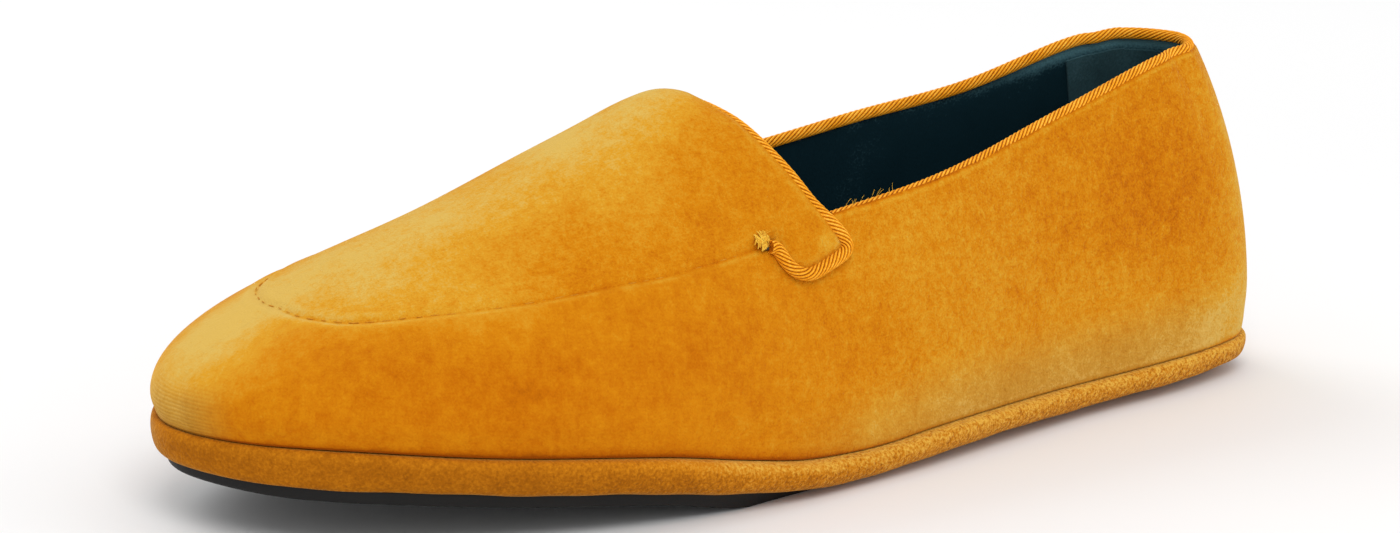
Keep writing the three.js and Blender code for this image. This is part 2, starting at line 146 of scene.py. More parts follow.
# How the nap lies, with painted light in the same table: pale tone is brushed nap and painted highlights on
# the top and along the rims, deep tone is the nap and painted shade low on the sides. Tone over nought is
# pale, under nought deep. size in millimetres.
NAP_AND_LIGHT = sided_table("row rise size tone", [
    [10, 0.62, 14, 0.3], [9.7, 0.85, 13, 0.12], [9.3, 0.14, 13, -0.25], [9.3, 0.6, 16, 0.1],
    [9.5, 0.42, 11, 0.2], [8.6, 0.97, 18, 0.34], [8.1, 0.9, 16, 0.36], [8.08, 0.71, 9, 0.3],
    [7.7, 0.66, 9, 0.12], [7.4, 0.6, 8, 0.36], [7.05, 0.57, 8, 0.25], [8.44, 0.62, 8, 0.08],
    [7.19, 0.45, 10, 0.2], [7.5, 0.98, 18, 0.5], [6.8, 0.98, 18, 0.4], [6.2, 1, 16, 0.45],
    [5.7, 1, 14, 0.5], [6, 0.72, 14, 0.22], [5.6, 0.54, 12, -0.15], [7.2, 0.36, 28, -0.22],
    [8.3, 0.3, 22, -0.2], [5.75, 0.24, 16, -0.2], [7.1, 0.15, 14, -0.2], [6.4, 0.13, 12, -0.16],
    [4.49, 0.14, 11, -0.22], [3.25, 0.16, 10, -0.15], [2.63, 0.17, 10, 0.2], [1.82, 0.34, 11, -0.2],
    [4.5, 0.05, 12, 0.4], [3.95, 0.04, 14, 0.42], [3.1, 0.05, 16, 0.35], [2.4, 0.04, 14, 0.35],
    [1.85, 0.04, 9, 0.75], [1.36, 0.08, 10, 0.4], [0.9, 0.03, 9, 0.6], [0.6, 0.1, 12, 0.4],
    [0.5, 0.25, 16, 0.3], [0.78, 0.25, 8, 0.5], [0.74, 0.36, 6, 0.25], [0.7, 0.42, 13, 0.3],
    [4.2, 0.38, 14, 0.2], [3.6, 0.22, 20, 0.15], [2.4, 0.32, 20, -0.25], [4.75, 0.425, 1.9, 0.6],
    [4.65, 0.415, 2.2, 0.4],
], [
    [8.6, 0.4, 26, -0.2], [7, 0.3, 30, -0.22], [5, 0.2, 26, 0.15], [3, 0.3, 24, -0.25],
    [4, 0.05, 18, 0.4], [2, 0.05, 18, 0.45], [9.5, 0.45, 12, 0.42], [9.2, 0.66, 12, 0.5],
    [8.74, 0.76, 14, 0.66], [9.8, 0.2, 12, 0.26], [5.35, 0.95, 9, 0.6], [6.2, 0.88, 11, 0.45],
    [7.2, 0.84, 12, 0.4], [8.1, 0.8, 12, 0.45],
])


# The last's surface

def curve(tab, over, column, at):
    """Smooth curve through a table's column, with slopes from its neighbours."""
    x, y = tab[over], tab[column]
    index = np.arange(len(x))
    upper, lower = np.minimum(index + 1, len(x) - 1), np.maximum(index - 1, 0)
    slope = (y[upper] - y[lower]) / (x[upper] - x[lower])
    t = np.clip(at, x[0], x[-1])
    i = np.clip(np.searchsorted(x, t, side="right") - 1, 0, len(x) - 2)
    span = x[i + 1] - x[i]
    u = (t - x[i]) / span
    rise = y[i + 1] - y[i]
    enter, leave = slope[i] * span, slope[i + 1] * span
    return y[i] + u * (enter + u * (3 * rise - 2 * enter - leave + u * (enter + leave - 2 * rise)))


def through_rows(values, row, before=None, after=None):
    """Value and slope at a row of the sections."""
    first = values[1] if before is None else before
    final = values[-2] if after is None else after
    padded = np.concatenate([[first], values, [final]])
    i = np.clip(np.floor(row).astype(int), 0, LAST_ROW - 1)
    u = row - i
    a, b, c, d = (padded[i + k] for k in range(4))
    one, two, three = c - a, 2 * a - 5 * b + 4 * c - d, 3 * (b - c) + d - a
    return b + 0.5 * u * (one + u * (two + u * three)), 0.5 * (one + u * (2 * two + 3 * u * three))


def sole_at(name, along):
    return curve(SOLE, "along", name, along)


def seam_height(along):
    return sole_at("base", along) + sole_at("rand", along)


def feather_line(side, row):
    """Where the upper meets the sole, and the way outwards from it in plan."""
    own, other = (SECTIONS[n] for n in (("outer", "inner") if side == OUTER else ("inner", "outer")))
    across = side * own
    across[0] = side * (own[0] - other[0]) / 2
    across[-1] = side * (own[-1] - other[-1]) / 2
    along, run = through_rows(SECTIONS["along"], row)
    width, turn = through_rows(across, row, -side * HEEL_ROUND * other[1], -side * other[-2])
    size = np.hypot(run, turn)
    return along, width, -side * turn / size, side * run / size


def dome_height(row, rise):
    """The vamp's top swells a little and then rounds over to the throat's edge."""
    ahead = row - curve(THROAT, "rise", "row", rise)
    swell = band(ahead, DOME_SWELL, DOME_WIDTH, DOME_PEAK)
    drop = DOME_DROP * np.maximum(0, 1 - ahead / DOME_REACH) ** 2
    return np.where(row < ROW_CORNER, 0, smooth(DOME_FROM, 1, rise) * (swell - drop))


def last_point(side, row, rise, nudge=0.001):
    """Points of the last, in millimetres in the shoe's frame. nudge keeps the slopes off the end rows."""
    row, rise = np.broadcast_arrays(np.asarray(row, float), np.asarray(rise, float))
    along, across, out_along, out_across = feather_line(side, row)
    foot = seam_height(along)
    ridge_along, ridge_across, ridge_height, lean, wall, crown = (
        through_rows(SECTIONS[name], row)[0]
        for name in ("ridge_along", "ridge_across", "ridge_height", "lean", "wall", "crown"))
    inside = np.clip(row, nudge, LAST_ROW - nudge)
    slope = (through_rows(SECTIONS["ridge_height"], inside)[1]
             / through_rows(SECTIONS["ridge_along"], inside)[1])
    flat_along = crown * (along - ridge_along)
    flat_across = crown * (across - ridge_across)
    points = (
        (along, across, foot),
        (along + lean * out_along, across + lean * out_across, foot + wall * (ridge_height - foot)),
        (ridge_along + flat_along, ridge_across + flat_across, ridge_height + slope * flat_along),
        (ridge_along, ridge_across, ridge_height),
    )
    shares = ((1 - rise) ** 3, 3 * rise * (1 - rise) ** 2, 3 * rise ** 2 * (1 - rise), rise ** 3)
    x, y, z = (sum(share * point[axis] for share, point in zip(shares, points)) for axis in range(3))
    return np.stack([MIDDLE - x, y + AXIS_ACROSS, z + dome_height(row, rise)], -1)


def last_normal(side, row, rise, step=0.002):
    row, rise = np.broadcast_arrays(np.asarray(row, float), np.asarray(rise, float))
    flat = np.minimum(rise, 1 - 2 * step)
    low = np.maximum(flat - step, 0)
    along = (last_point(side, np.minimum(row + step, LAST_ROW), flat)
             - last_point(side, np.maximum(row - step, 0), flat))
    up = last_point(side, row, low + 2 * step) - last_point(side, row, low)
    normal = side * np.cross(along, up)
    normal[..., 2] = np.where(rise <= 0, 0, normal[..., 2])
    normal[..., 1] = np.where(rise >= 1, 0, normal[..., 1])
    return unit(normal)


def off_last(side, row, rise, out):
    """Points that stand so far out from the last, in millimetres."""
    return last_point(side, row, rise) + last_normal(side, row, rise) * out


def collar_rise(side, row, halvings=30):
    """The share of each section at which it reaches the collar's edge."""
    row = np.asarray(row, float)
    low, high = np.zeros_like(row), np.ones_like(row)
    column = "outer" if side == OUTER else "inner"
    for _ in range(halvings):
        middle = (low + high) / 2
        point = last_point(side, row, middle)
        under = point[..., 2] < curve(COLLAR, "along", column, MIDDLE - point[..., 0])
        low, high = np.where(under, middle, low), np.where(under, high, middle)
    return low


def throat_rise(row):
    return curve(THROAT, "row", "rise", row)


def lining_top(side, row):
    return np.where(row < ROW_CORNER, collar_rise(side, np.minimum(row, ROW_CORNER)),
                    np.where(row < ROW_THROAT, throat_rise(row), 1))


def seam_rise(row):
    return curve(SEAM, "row", "rise", row)


def plug_top(row):
    back = curve(TAB_BACK, "row", "rise", row)
    return np.where(row < ROW_CORNER, back, np.where(row < ROW_THROAT, throat_rise(row), 1))


def plug_low(row):
    return np.where(row < ROW_BAR, curve(TAB_LOW, "row", "rise", row), seam_rise(row))


def smooth(low, high, value):
    t = np.clip((value - low) / (high - low), 0, 1)
    return t * t * (3 - 2 * t)


def band(gap, strength, width, at=0):
    """A soft band beside an edge, as strong and wide as given and so far away from it."""
    return strength * np.exp(-((gap - at) / width) ** 2)


def unit(vectors):
    return vectors / np.linalg.norm(vectors, axis=-1, keepdims=True)


def stretches(ends, counts):
    """Rows from the first end to the last one, evenly spaced between each two."""
    parts = [np.linspace(a, b, count)[:-1] for a, b, count in zip(ends, ends[1:], counts)]
    return np.concatenate([*parts, ends[-1:]])


def nearest(points, path, chunk=4000):
    """Distance from each point to the nearest one of a path, in millimetres."""
    flat = points.reshape(-1, 3)
    found = np.empty(len(flat))
    for start in range(0, len(flat), chunk):
        gap = ((flat[start:start + chunk, None] - path[None]) ** 2).sum(-1)
        found[start:start + chunk] = np.sqrt(gap.min(1))
    return found.reshape(points.shape[:-1])


def troughs(points):
    """How far the cloth stands in or out at each point."""
    total = np.zeros(points.shape[:-1])
    for side, row, rise, to_row, to_rise, width, depth in zip(*TROUGHS.values()):
        start = last_point(int(side), row, rise)
        way = last_point(int(side), to_row, to_rise) - start
        share = np.clip((points - start) @ way / (way @ way), 0, 1)
        gap = np.linalg.norm(points - start - share[..., None] * way, axis=-1)
        total -= band(gap, depth, width)
    return total


# Adds up the nap's own pale and deep patches together with the painted highlights and painted shade of the
# table
def nap_and_light_tone(points):
    total = np.zeros(points.shape[:-1])
    for side, row, rise, size, tone in zip(*NAP_AND_LIGHT.values()):
        total += band(np.linalg.norm(points - last_point(int(side), row, rise), axis=-1), tone, size)
    return total


# Meshes

def link(name, data):
    """An object in the scene that holds a mesh, a light or a camera."""
    piece = bpy.data.objects.new(name, data)
    bpy.context.scene.collection.objects.link(piece)
    return piece


def smooth_mesh(name, points, faces, material):
    """A mesh from points in millimetres, shaded smooth."""
    mesh = bpy.data.meshes.new(name)
    mesh.from_pydata((points * MM).tolist(), [], faces)
    mesh.validate()
    mesh.polygons.foreach_set("use_smooth", np.ones(len(mesh.polygons), bool))
    mesh.materials.append(material)
    return mesh


def finish_mesh(name, vertices, faces, material, attributes=(), sharp=40, digits=4):
    """A named piece from points in millimetres, with doubles merged and its hard edges kept."""
    points = np.asarray(vertices, float)
    _, first, back = np.unique(np.round(points, digits), axis=0, return_index=True, return_inverse=True)
    back = back.reshape(-1)
    merged = [list(dict.fromkeys(int(back[v]) for v in face)) for face in faces]
    mesh = smooth_mesh(name, points[first], [corners for corners in merged if len(corners) > 2], material)
    mesh.set_sharp_from_angle(angle=math.radians(sharp))
    for label, values in dict(attributes).items():
        values = np.asarray(values, np.float32)[first]
        kind, field = ("FLOAT", "value") if values.ndim == 1 else ("FLOAT_VECTOR", "vector")
        mesh.attributes.new(label, kind, "POINT").data.foreach_set(field, values.reshape(-1))
    return link(name, mesh)


def grid_faces(rows, columns, offset, flip):
    i, k = np.meshgrid(np.arange(rows - 1), np.arange(columns - 1), indexing="ij")
    start = i * columns + k + offset
    quads = np.stack([start, start + columns, start + columns + 1, start + 1], -1).reshape(-1, 4)
    return (quads[:, ::-1] if flip else quads).tolist()


def edge_strip(front, back, line, turn):
    """Faces that join two layers of points along one of their edges."""
    quads = [[front + a, back + a, back + b, front + b] for a, b in zip(line, line[1:])]
    return [quad[::-1] for quad in quads] if turn else quads


def flow_of(points):
    """Distances along and up a grid of points, in millimetres, for patterns that follow the cloth."""
    along = np.linalg.norm(np.diff(points, axis=0, prepend=points[:1]), axis=-1).cumsum(0)
    up = np.linalg.norm(np.diff(points, axis=1, prepend=points[:, :1]), axis=-1).cumsum(1)
    middle = along[:, along.shape[1] // 3][:, None] + 0 * up
    return np.stack([middle, up, np.zeros_like(up)], -1)


def wall_piece(name, material, rows, shares, low, high, outside, inside, extra=None, ends=(False, False)):
    """A closed wall over both sides of the last. outside and inside give offsets from its surface for
    (side, row, rise, points); ends says which ends of the rows are open edges that need closing."""
    vertices, faces, fields = [], [], {}
    count, levels = len(rows), len(shares)
    for side in (OUTER, INNER):
        bottom, top = low(side, rows), high(side, rows)
        row = np.repeat(rows[:, None], levels, 1)
        rise = bottom[:, None] + (top - bottom)[:, None] * shares[None]
        base = last_point(side, row, rise)
        marks = {"flow": flow_of(base), **(extra(side, row, rise, base) if extra else {})}
        layers = []
        for give in (outside, inside):
            layers.append(len(vertices))
            out = give(side, row, rise, base)[..., None]
            vertices.extend(off_last(side, row, rise, out).reshape(-1, 3))
            for label, value in marks.items():
                fields.setdefault(label, []).append(value.reshape(-1, *value.shape[2:]))
        front, back = layers
        flip = side == INNER
        faces += grid_faces(count, levels, front, flip) + grid_faces(count, levels, back, not flip)
        for level, turn in ((0, flip), (levels - 1, not flip)):
            faces += edge_strip(front, back, range(level, count * levels, levels), turn)
        for end, start, turn in zip(ends, (0, (count - 1) * levels), (not flip, flip)):
            if end:
                faces += edge_strip(front, back, range(start, start + levels), turn)
    fields = {label: np.concatenate(parts) for label, parts in fields.items()}
    return finish_mesh(name, vertices, faces, material, fields)


def plate_piece(name, material, rows, rings, across, top=None, extra=None, sharp=40):
    """A closed plate from rings round the foot, listed from the bottom up. top may lift the upper cover,
    by the share of the way from the outer side to the inner."""
    around = [(OUTER, r) for r in rows] + [(INNER, r) for r in rows[-2:0:-1]]
    sides = np.array([s for s, _ in around])
    at = np.array([r for _, r in around])
    line = np.where(sides[None] == OUTER, feather_line(OUTER, at), feather_line(INNER, at))
    vertices, faces = [], []
    size, count = len(around), len(rows)
    for grow, height in rings:
        out = grow(line[0])
        along = line[0] + out * line[2]
        vertices.extend(np.stack([MIDDLE - along, line[1] + out * line[3] + AXIS_ACROSS, height(along)], -1))
    for ring in range(len(rings) - 1):
        for i in range(size):
            a, b = ring * size + i, ring * size + (i + 1) % size
            faces.append([a, a + size, b + size, b])
    for ring, lift, flip in ((0, None, False), (len(rings) - 1, top, True)):
        outer = np.array(vertices[ring * size:ring * size + count])
        mirror = np.array([vertices[ring * size + (size - i) % size] for i in range(count)])
        share = np.linspace(0, 1, across + 1)[None, :, None]
        cover = outer[:, None] * (1 - share) + mirror[:, None] * share
        if lift:
            cover[..., 2] += lift(share[..., 0])
        faces += grid_faces(count, across + 1, len(vertices), flip)
        vertices.extend(cover.reshape(-1, 3))
    points = np.array(vertices)
    return finish_mesh(name, points, faces, material, extra(points) if extra else (), sharp)


def tube(path, radius, sides=6, steep=0.8):
    """Points and faces of a round thread along a path, closed at both ends."""
    tangent = unit(np.gradient(path, axis=0))
    helper = np.where(np.abs(tangent[:, 2:]) < steep, [[0.0, 0.0, 1.0]], [[1.0, 0.0, 0.0]])
    one = unit(np.cross(tangent, helper))
    two = np.cross(tangent, one)
    turn = np.linspace(0, 2 * np.pi, sides, endpoint=False)
    ring = one[:, None] * np.cos(turn)[None, :, None] + two[:, None] * np.sin(turn)[None, :, None]
    points = (path[:, None] + radius * ring).reshape(-1, 3)
    faces = []
    for i in range(len(path) - 1):
        for k in range(sides):
            j = (k + 1) % sides
            faces.append([i * sides + k, i * sides + j, (i + 1) * sides + j, (i + 1) * sides + k])
    faces.append(list(range(sides))[::-1])
    faces.append([(len(path) - 1) * sides + k for k in range(sides)])
    return points, faces


def bundle(name, threads, material):
    """One piece from many threads, each a path and its radius."""
    vertices, faces = [], []
    for path, radius in threads:
        points, quads = tube(path, radius)
        faces += [[v + len(vertices) for v in quad] for quad in quads]
        vertices.extend(points)
    return link(name, smooth_mesh(name, np.array(vertices), faces, material))


# Node trees, and Geometry Nodes for what follows a path

class Nodes:
    """A node tree, and short ways to add and join its nodes."""

    def __init__(self, tree):
        self.tree = tree

    def add(self, kind, inputs=None, **settings):
        node = self.tree.nodes.new(kind)
        for key, value in settings.items():
            setattr(node, key, value)
        for key, value in (inputs or {}).items():
            if isinstance(value, bpy.types.NodeSocket):
                self.tree.links.new(value, node.inputs[key])
            else:
                node.inputs[key].default_value = value
        return node

    def math(self, operation, a, b=0.0, clamp=False):
        return self.add("ShaderNodeMath", {0: a, 1: b}, operation=operation, use_clamp=clamp).outputs[0]


class Tree(Nodes):
    """A Geometry Nodes tree with named inputs."""

    def __init__(self, name, inputs):
        super().__init__(bpy.data.node_groups.new(name, "GeometryNodeTree"))
        face = self.tree.interface
        face.new_socket("Geometry", in_out="INPUT", socket_type="NodeSocketGeometry")
        self.ids = {}
        for label, kind, value in inputs:
            socket = face.new_socket(label, in_out="INPUT", socket_type="NodeSocket" + kind)
            if value is not None:
                socket.default_value = value
            self.ids[label] = socket.identifier
        face.new_socket("Geometry", in_out="OUTPUT", socket_type="NodeSocketGeometry")
        self.source = self.add("NodeGroupInput")
        self.sink = self.add("NodeGroupOutput")

    def given(self, label):
        return self.source.outputs[label]

    def close(self, geometry, material):
        real = self.add("GeometryNodeRealizeInstances", {"Geometry": geometry})
        done = self.add("GeometryNodeSetMaterial", {"Geometry": real.outputs[0], "Material": material})
        self.tree.links.new(done.outputs[0], self.sink.inputs[0])


def path_object(name, points):
    mesh = bpy.data.meshes.new(name)
    mesh.from_pydata((points * MM).tolist(), [(i, i + 1) for i in range(len(points) - 1)], [])
    return link(name, mesh)


def run_tree(piece, tree, values):
    """Runs a tree on a piece, keeps the result as a plain mesh and takes the modifier off."""
    modifier = piece.modifiers.new("shape", "NODES")
    modifier.node_group = tree.tree
    for label, value in values.items():
        modifier[tree.ids[label]] = value
    graph = bpy.context.evaluated_depsgraph_get()
    result = bpy.data.meshes.new_from_object(piece.evaluated_get(graph))
    piece.modifiers.remove(modifier)
    piece.data = result
    result.name = piece.name
    return piece


def rope_tree():
    """A twisted cord: a profile with a lobe for each strand, swept along the path and turned as it goes."""
    t = Tree("twisted_cord", [
        ("Radius", "Float", 0.0015), ("Strands", "Int", 7), ("Pitch", "Float", -0.009),
        ("Groove", "Float", 0.16), ("Step", "Float", 0.0005), ("Taper", "Float", 0.001),
        ("Material", "Material", None),
    ])
    line = t.add("GeometryNodeMeshToCurve", {"Mesh": t.given("Geometry")}).outputs[0]
    even = t.add("GeometryNodeResampleCurve", {"Curve": line, "Length": t.given("Step")}, mode="LENGTH")
    spot = t.add("GeometryNodeSplineParameter")
    turn = t.math("MULTIPLY", t.math("DIVIDE", spot.outputs["Length"], t.given("Pitch")), 2 * math.pi)
    turned = t.add("GeometryNodeSetCurveTilt", {"Curve": even.outputs[0], "Tilt": turn}).outputs[0]
    whole = t.add("GeometryNodeSplineLength").outputs["Length"]
    left = t.math("SUBTRACT", whole, spot.outputs["Length"])
    near = t.math("MINIMUM", spot.outputs["Length"], left)
    share = t.math("MINIMUM", t.math("DIVIDE", near, t.given("Taper")), 1.0)
    swell = t.math("ADD", t.math("MULTIPLY", t.math("POWER", share, 0.5), 0.5), 0.5)
    sized = t.add("GeometryNodeSetCurveRadius", {"Curve": turned, "Radius": swell}).outputs[0]
    count = t.math("MULTIPLY", t.given("Strands"), 6.0)
    ring = t.add("GeometryNodeCurvePrimitiveCircle", {"Resolution": count, "Radius": t.given("Radius")})
    place = t.add("GeometryNodeSplineParameter").outputs["Factor"]
    wave = t.math("ABSOLUTE", t.math("SINE", t.math("MULTIPLY", t.math("MULTIPLY", place, t.given("Strands")),
                                                    math.pi)))
    lobe = t.math("POWER", wave, 0.7)
    dip = t.math("MULTIPLY", t.math("SUBTRACT", 1.0, lobe), t.given("Groove"))
    keep = t.math("SUBTRACT", 1.0, dip)
    position = t.add("GeometryNodeInputPosition").outputs[0]
    scaled = t.add("ShaderNodeVectorMath", {0: position, "Scale": keep}, operation="SCALE").outputs[0]
    profile = t.add("GeometryNodeSetPosition", {"Geometry": ring.outputs[0], "Position": scaled}).outputs[0]
    # The lobe's height, by which the cord's finish paints highlights on the strands and shade in the grooves
    named = t.add("GeometryNodeStoreNamedAttribute", {"Geometry": profile, "Name": "lobe", "Value": lobe},
                  data_type="FLOAT", domain="POINT").outputs[0]
    swept = t.add("GeometryNodeCurveToMesh", {"Curve": sized, "Profile Curve": named, "Fill Caps": True})
    soft = t.add("GeometryNodeSetShadeSmooth", {"Geometry": swept.outputs[0]}).outputs[0]
    t.close(soft, t.given("Material"))
    return t


def stitch_tree():
    """A row of stitches: short rounded bars laid end to end along the path."""
    t = Tree("stitch_row", [
        ("Spacing", "Float", 0.003), ("Length", "Float", 0.002), ("Thickness", "Float", 0.0004),
        ("Wander", "Float", 0.0001), ("Seed", "Int", SEED), ("Material", "Material", None),
    ])
    line = t.add("GeometryNodeMeshToCurve", {"Mesh": t.given("Geometry")}).outputs[0]
    dots = t.add("GeometryNodeCurveToPoints", {"Curve": line, "Length": t.given("Spacing")}, mode="LENGTH")
    aligned = t.add("FunctionNodeAlignEulerToVector", {"Vector": dots.outputs["Tangent"]}, axis="X")
    ball = t.add("GeometryNodeMeshIcoSphere", {"Radius": 0.5, "Subdivisions": 2}).outputs[0]
    size = t.add("ShaderNodeCombineXYZ", {0: t.given("Length"), 1: t.given("Thickness"),
                                         2: t.given("Thickness")}).outputs[0]
    bar = t.add("GeometryNodeTransform", {"Geometry": ball, "Scale": size}).outputs[0]
    low, high = (t.add("ShaderNodeVectorMath", {0: (way, way, way), "Scale": t.given("Wander")},
                       operation="SCALE").outputs[0] for way in (-1.0, 1.0))
    jitter = t.add("FunctionNodeRandomValue", {"Min": low, "Max": high, "Seed": t.given("Seed")},
                   data_type="FLOAT_VECTOR")
    moved = t.add("GeometryNodeSetPosition", {"Geometry": dots.outputs[0], "Offset": jitter.outputs[0]})
    uneven = t.add("FunctionNodeRandomValue", {2: 0.55, 3: 1.1, "Seed": t.given("Seed")}, data_type="FLOAT")
    placed = t.add("GeometryNodeInstanceOnPoints", {
        "Points": moved.outputs[0], "Instance": bar, "Rotation": aligned.outputs[0],
        "Scale": uneven.outputs[1]})
    soft = t.add("GeometryNodeSetShadeSmooth", {"Geometry": placed.outputs[0]}).outputs[0]
    t.close(soft, t.given("Material"))
    return t


# Materials

def tint(*rgb):
    """A colour given in display values from 0 to 255, as the linear one that shaders take."""
    values = [c / 255 for c in rgb]
    return tuple(c / 12.92 if c <= 0.04045 else ((c + 0.055) / 1.055) ** 2.4 for c in values) + (1.0,)


def shades(*stops):
    """A ramp's stops, each a place from nought to one and a colour in display values."""
    return [(place, tint(*rgb)) for place, *rgb in stops]


class Finish(Nodes):
    """A procedural material, and short ways to feed its shader."""

    def __init__(self, name, **shader):
        self.material = bpy.data.materials.new(name)
        self.material.use_nodes = True
        super().__init__(self.material.node_tree)
        self.shader = self.tree.nodes["Principled BSDF"]
        for key, value in shader.items():
            self.shader.inputs[key.replace("_", " ").title().replace("Ior", "IOR")].default_value = value
        self.place = self.add("ShaderNodeTexCoord").outputs["Object"]

    def attribute(self, name, output="Fac"):
        return self.add("ShaderNodeAttribute", attribute_name=name).outputs[output]

    def stretch(self, vector, scale):
        return self.add("ShaderNodeMapping", {"Vector": vector, "Scale": scale}).outputs[0]

    def noise(self, size, vector=None, detail=2.0, rough=0.5, metres=True):
        """Soft noise about nought, whose blots are about size millimetres wide."""
        scale = 1 / (size * MM) if metres else 1 / size
        node = self.add("ShaderNodeTexNoise", {"Vector": vector or self.place, "Scale": scale,
                                               "Detail": detail, "Roughness": rough})
        return self.math("SUBTRACT", node.outputs["Fac"], 0.5)

    def ramp(self, value, stops):
        node = self.add("ShaderNodeValToRGB", {"Fac": value})
        elements = node.color_ramp.elements
        while len(elements) < len(stops):
            elements.new(0.5)
        for element, (position, colour) in zip(elements, stops):
            element.position = position
            element.color = colour
        return node.outputs["Color"]

    def total(self, *terms):
        """Sum of (value, weight) pairs."""
        result = None
        for value, weight in terms:
            term = self.math("MULTIPLY", value, weight)
            result = term if result is None else self.math("ADD", result, term)
        return result

    def feed(self, socket, value):
        self.tree.links.new(value, self.shader.inputs[socket])

    def paint(self, tone, stops, middle=0.5):
        """Colours the finish by a tone whose nought falls on the given place among the stops."""
        self.feed("Base Color", self.ramp(self.math("ADD", tone, middle, clamp=True), stops))

    def rough(self, tone, middle):
        self.feed("Roughness", self.math("ADD", tone, middle, clamp=True))

    def bump(self, height, distance, strength):
        node = self.add("ShaderNodeBump", {"Height": height, "Distance": distance * MM, "Strength": strength})
        self.feed("Normal", node.outputs["Normal"])


VELVET_STOPS = shades((0, 150, 72, 2), (0.3, 190, 105, 3), (0.5, 204, 126, 10), (0.75, 212, 152, 38),
                      (1, 212, 174, 84))
RAND_STOPS = shades((0, 112, 58, 4), (0.35, 166, 96, 10), (0.6, 200, 124, 20), (1, 228, 174, 68))
# The dull colour of worn pile and of painted shade
WEAR_AND_SHADE_STOPS = shades((0, 138, 90, 18), (0.5, 182, 130, 44), (0.7, 192, 142, 56), (1, 214, 172, 88))
# From painted shade in the cord's grooves to painted highlight on its strands
CORD_STOPS = shades((0, 104, 50, 0), (0.3, 196, 107, 4), (0.65, 240, 157, 22), (1, 255, 212, 92))
LEATHER_STOPS = shades((0, 12, 30, 36), (0.5, 16, 43, 52), (1, 84, 128, 138))
SUEDE_STOPS = shades((0, 20, 42, 48), (0.5, 34, 64, 70), (1, 62, 96, 104))
RUBBER_STOPS = shades((0, 8, 8, 8), (0.5, 17, 16, 15), (1, 34, 32, 30))
SEAM_THREAD_STOPS = shades((0.25, 182, 116, 22), (0.75, 216, 150, 42))
PALE_THREAD_STOPS = shades((0.25, 218, 152, 22), (0.75, 248, 208, 84))
# A dark grey for the painted shade in the gap at the cord's end
HOLE_SHADE_STOPS = shades((0.25, 48, 46, 44), (0.75, 84, 78, 66))


def velvet_finish(name, stops, weave=0.15, mottle=0.5, patch=0.33, fuzz=0.6, tuft=1.5):
    """Short cotton pile: deep where it faces the light, paler where brushed, dull where worn. The tone it is
    given also holds painted highlights and painted shade, and the dull colour also stands for painted shade.
    """
    f = Finish(name, roughness=0.95, sheen_weight=0.42, sheen_roughness=0.3, sheen_tint=tint(255, 216, 136),
               specular_ior_level=0.06)
    flow = f.attribute("flow", "Vector")
    nap, weft, worn, grain = (f.attribute(label) for label in ("nap", "weave", "worn", "grain"))
    blots = f.noise(16, detail=3)
    patches = f.noise(4.5, detail=2, rough=0.6)
    tufts = f.noise(tuft, detail=2, rough=0.6)
    specks = f.noise(0.5, detail=1)
    streaks = f.noise(1, f.stretch(flow, (0.7, 0.2, 1)), 2, metres=False)
    lines = f.add("ShaderNodeTexWave", {"Vector": flow, "Scale": 0.36, "Distortion": 1.8, "Detail": 2.0,
                                        "Detail Scale": 0.6}, bands_direction="Y").outputs["Fac"]
    ridges = f.math("MULTIPLY", f.math("SUBTRACT", lines, 0.5), f.math("ADD", weft, 0.08))
    fine = f.math("MULTIPLY", f.total((tufts, fuzz), (specks, 0.55)), grain)
    tone = f.total((nap, 0.5), (blots, 0.36 * mottle), (patches, patch), (streaks, 0.24 * mottle),
                   (fine, mottle), (ridges, weave))
    shade = f.math("ADD", tone, 0.5, clamp=True)
    # Mixes in the dull colour of worn pile and of painted shade
    mixed = f.add("ShaderNodeMix", {0: worn, 6: f.ramp(shade, stops), 7: f.ramp(shade, WEAR_AND_SHADE_STOPS)},
                  data_type="RGBA")
    f.feed("Base Color", mixed.outputs[2])
    f.bump(f.total((fine, 1.0), (streaks, 0.4), (ridges, 0.3), (patches, 0.5)), 0.5, 0.6)
    return f.material


def cord_finish():
    """Yarn with a painted highlight on the strands' backs and painted shade in the grooves between them."""
    f = Finish("gold_cord", roughness=0.7, specular_ior_level=0.08)
    yarn, patches = f.noise(0.5, detail=2), f.noise(6, detail=1)
    strand = f.math("POWER", f.attribute("lobe"), 1.6)
    f.paint(f.total((strand, 0.66), (yarn, 0.5), (patches, 0.35)), CORD_STOPS, 0.1)
    f.bump(f.total((yarn, 1.0)), 0.15, 0.6)
    return f.material


def leather_finish(grain=0.55, gloss=0.5):
    """Dark leather with a fine grain, paler along its worn edge."""
    f = Finish("teal_leather", roughness=gloss, specular_ior_level=0.1)
    cells = f.add("ShaderNodeTexVoronoi", {"Vector": f.place, "Scale": 1 / (grain * MM)}).outputs["Distance"]
    clouds, fine = f.noise(14, detail=3), f.noise(0.4, detail=2)
    edge = f.attribute("edge")
    f.paint(f.total((clouds, 0.35), (cells, 0.2), (edge, 0.72), (fine, 0.15)), LEATHER_STOPS, 0.3)
    f.rough(f.total((clouds, 0.3), (cells, 0.2)), gloss)
    f.bump(f.total((cells, 0.7), (fine, 0.6)), 0.12, 0.5)
    return f.material


def suede_finish():
    f = Finish("teal_suede", roughness=0.95, sheen_weight=0.5, sheen_roughness=0.5,
               sheen_tint=tint(150, 190, 200), specular_ior_level=0.1)
    clouds, fine = f.noise(9, detail=3), f.noise(0.6, detail=2)
    f.paint(f.total((clouds, 0.9), (fine, 0.6)), SUEDE_STOPS)
    f.bump(f.total((fine, 1.0), (clouds, 0.5)), 0.2, 0.6)
    return f.material


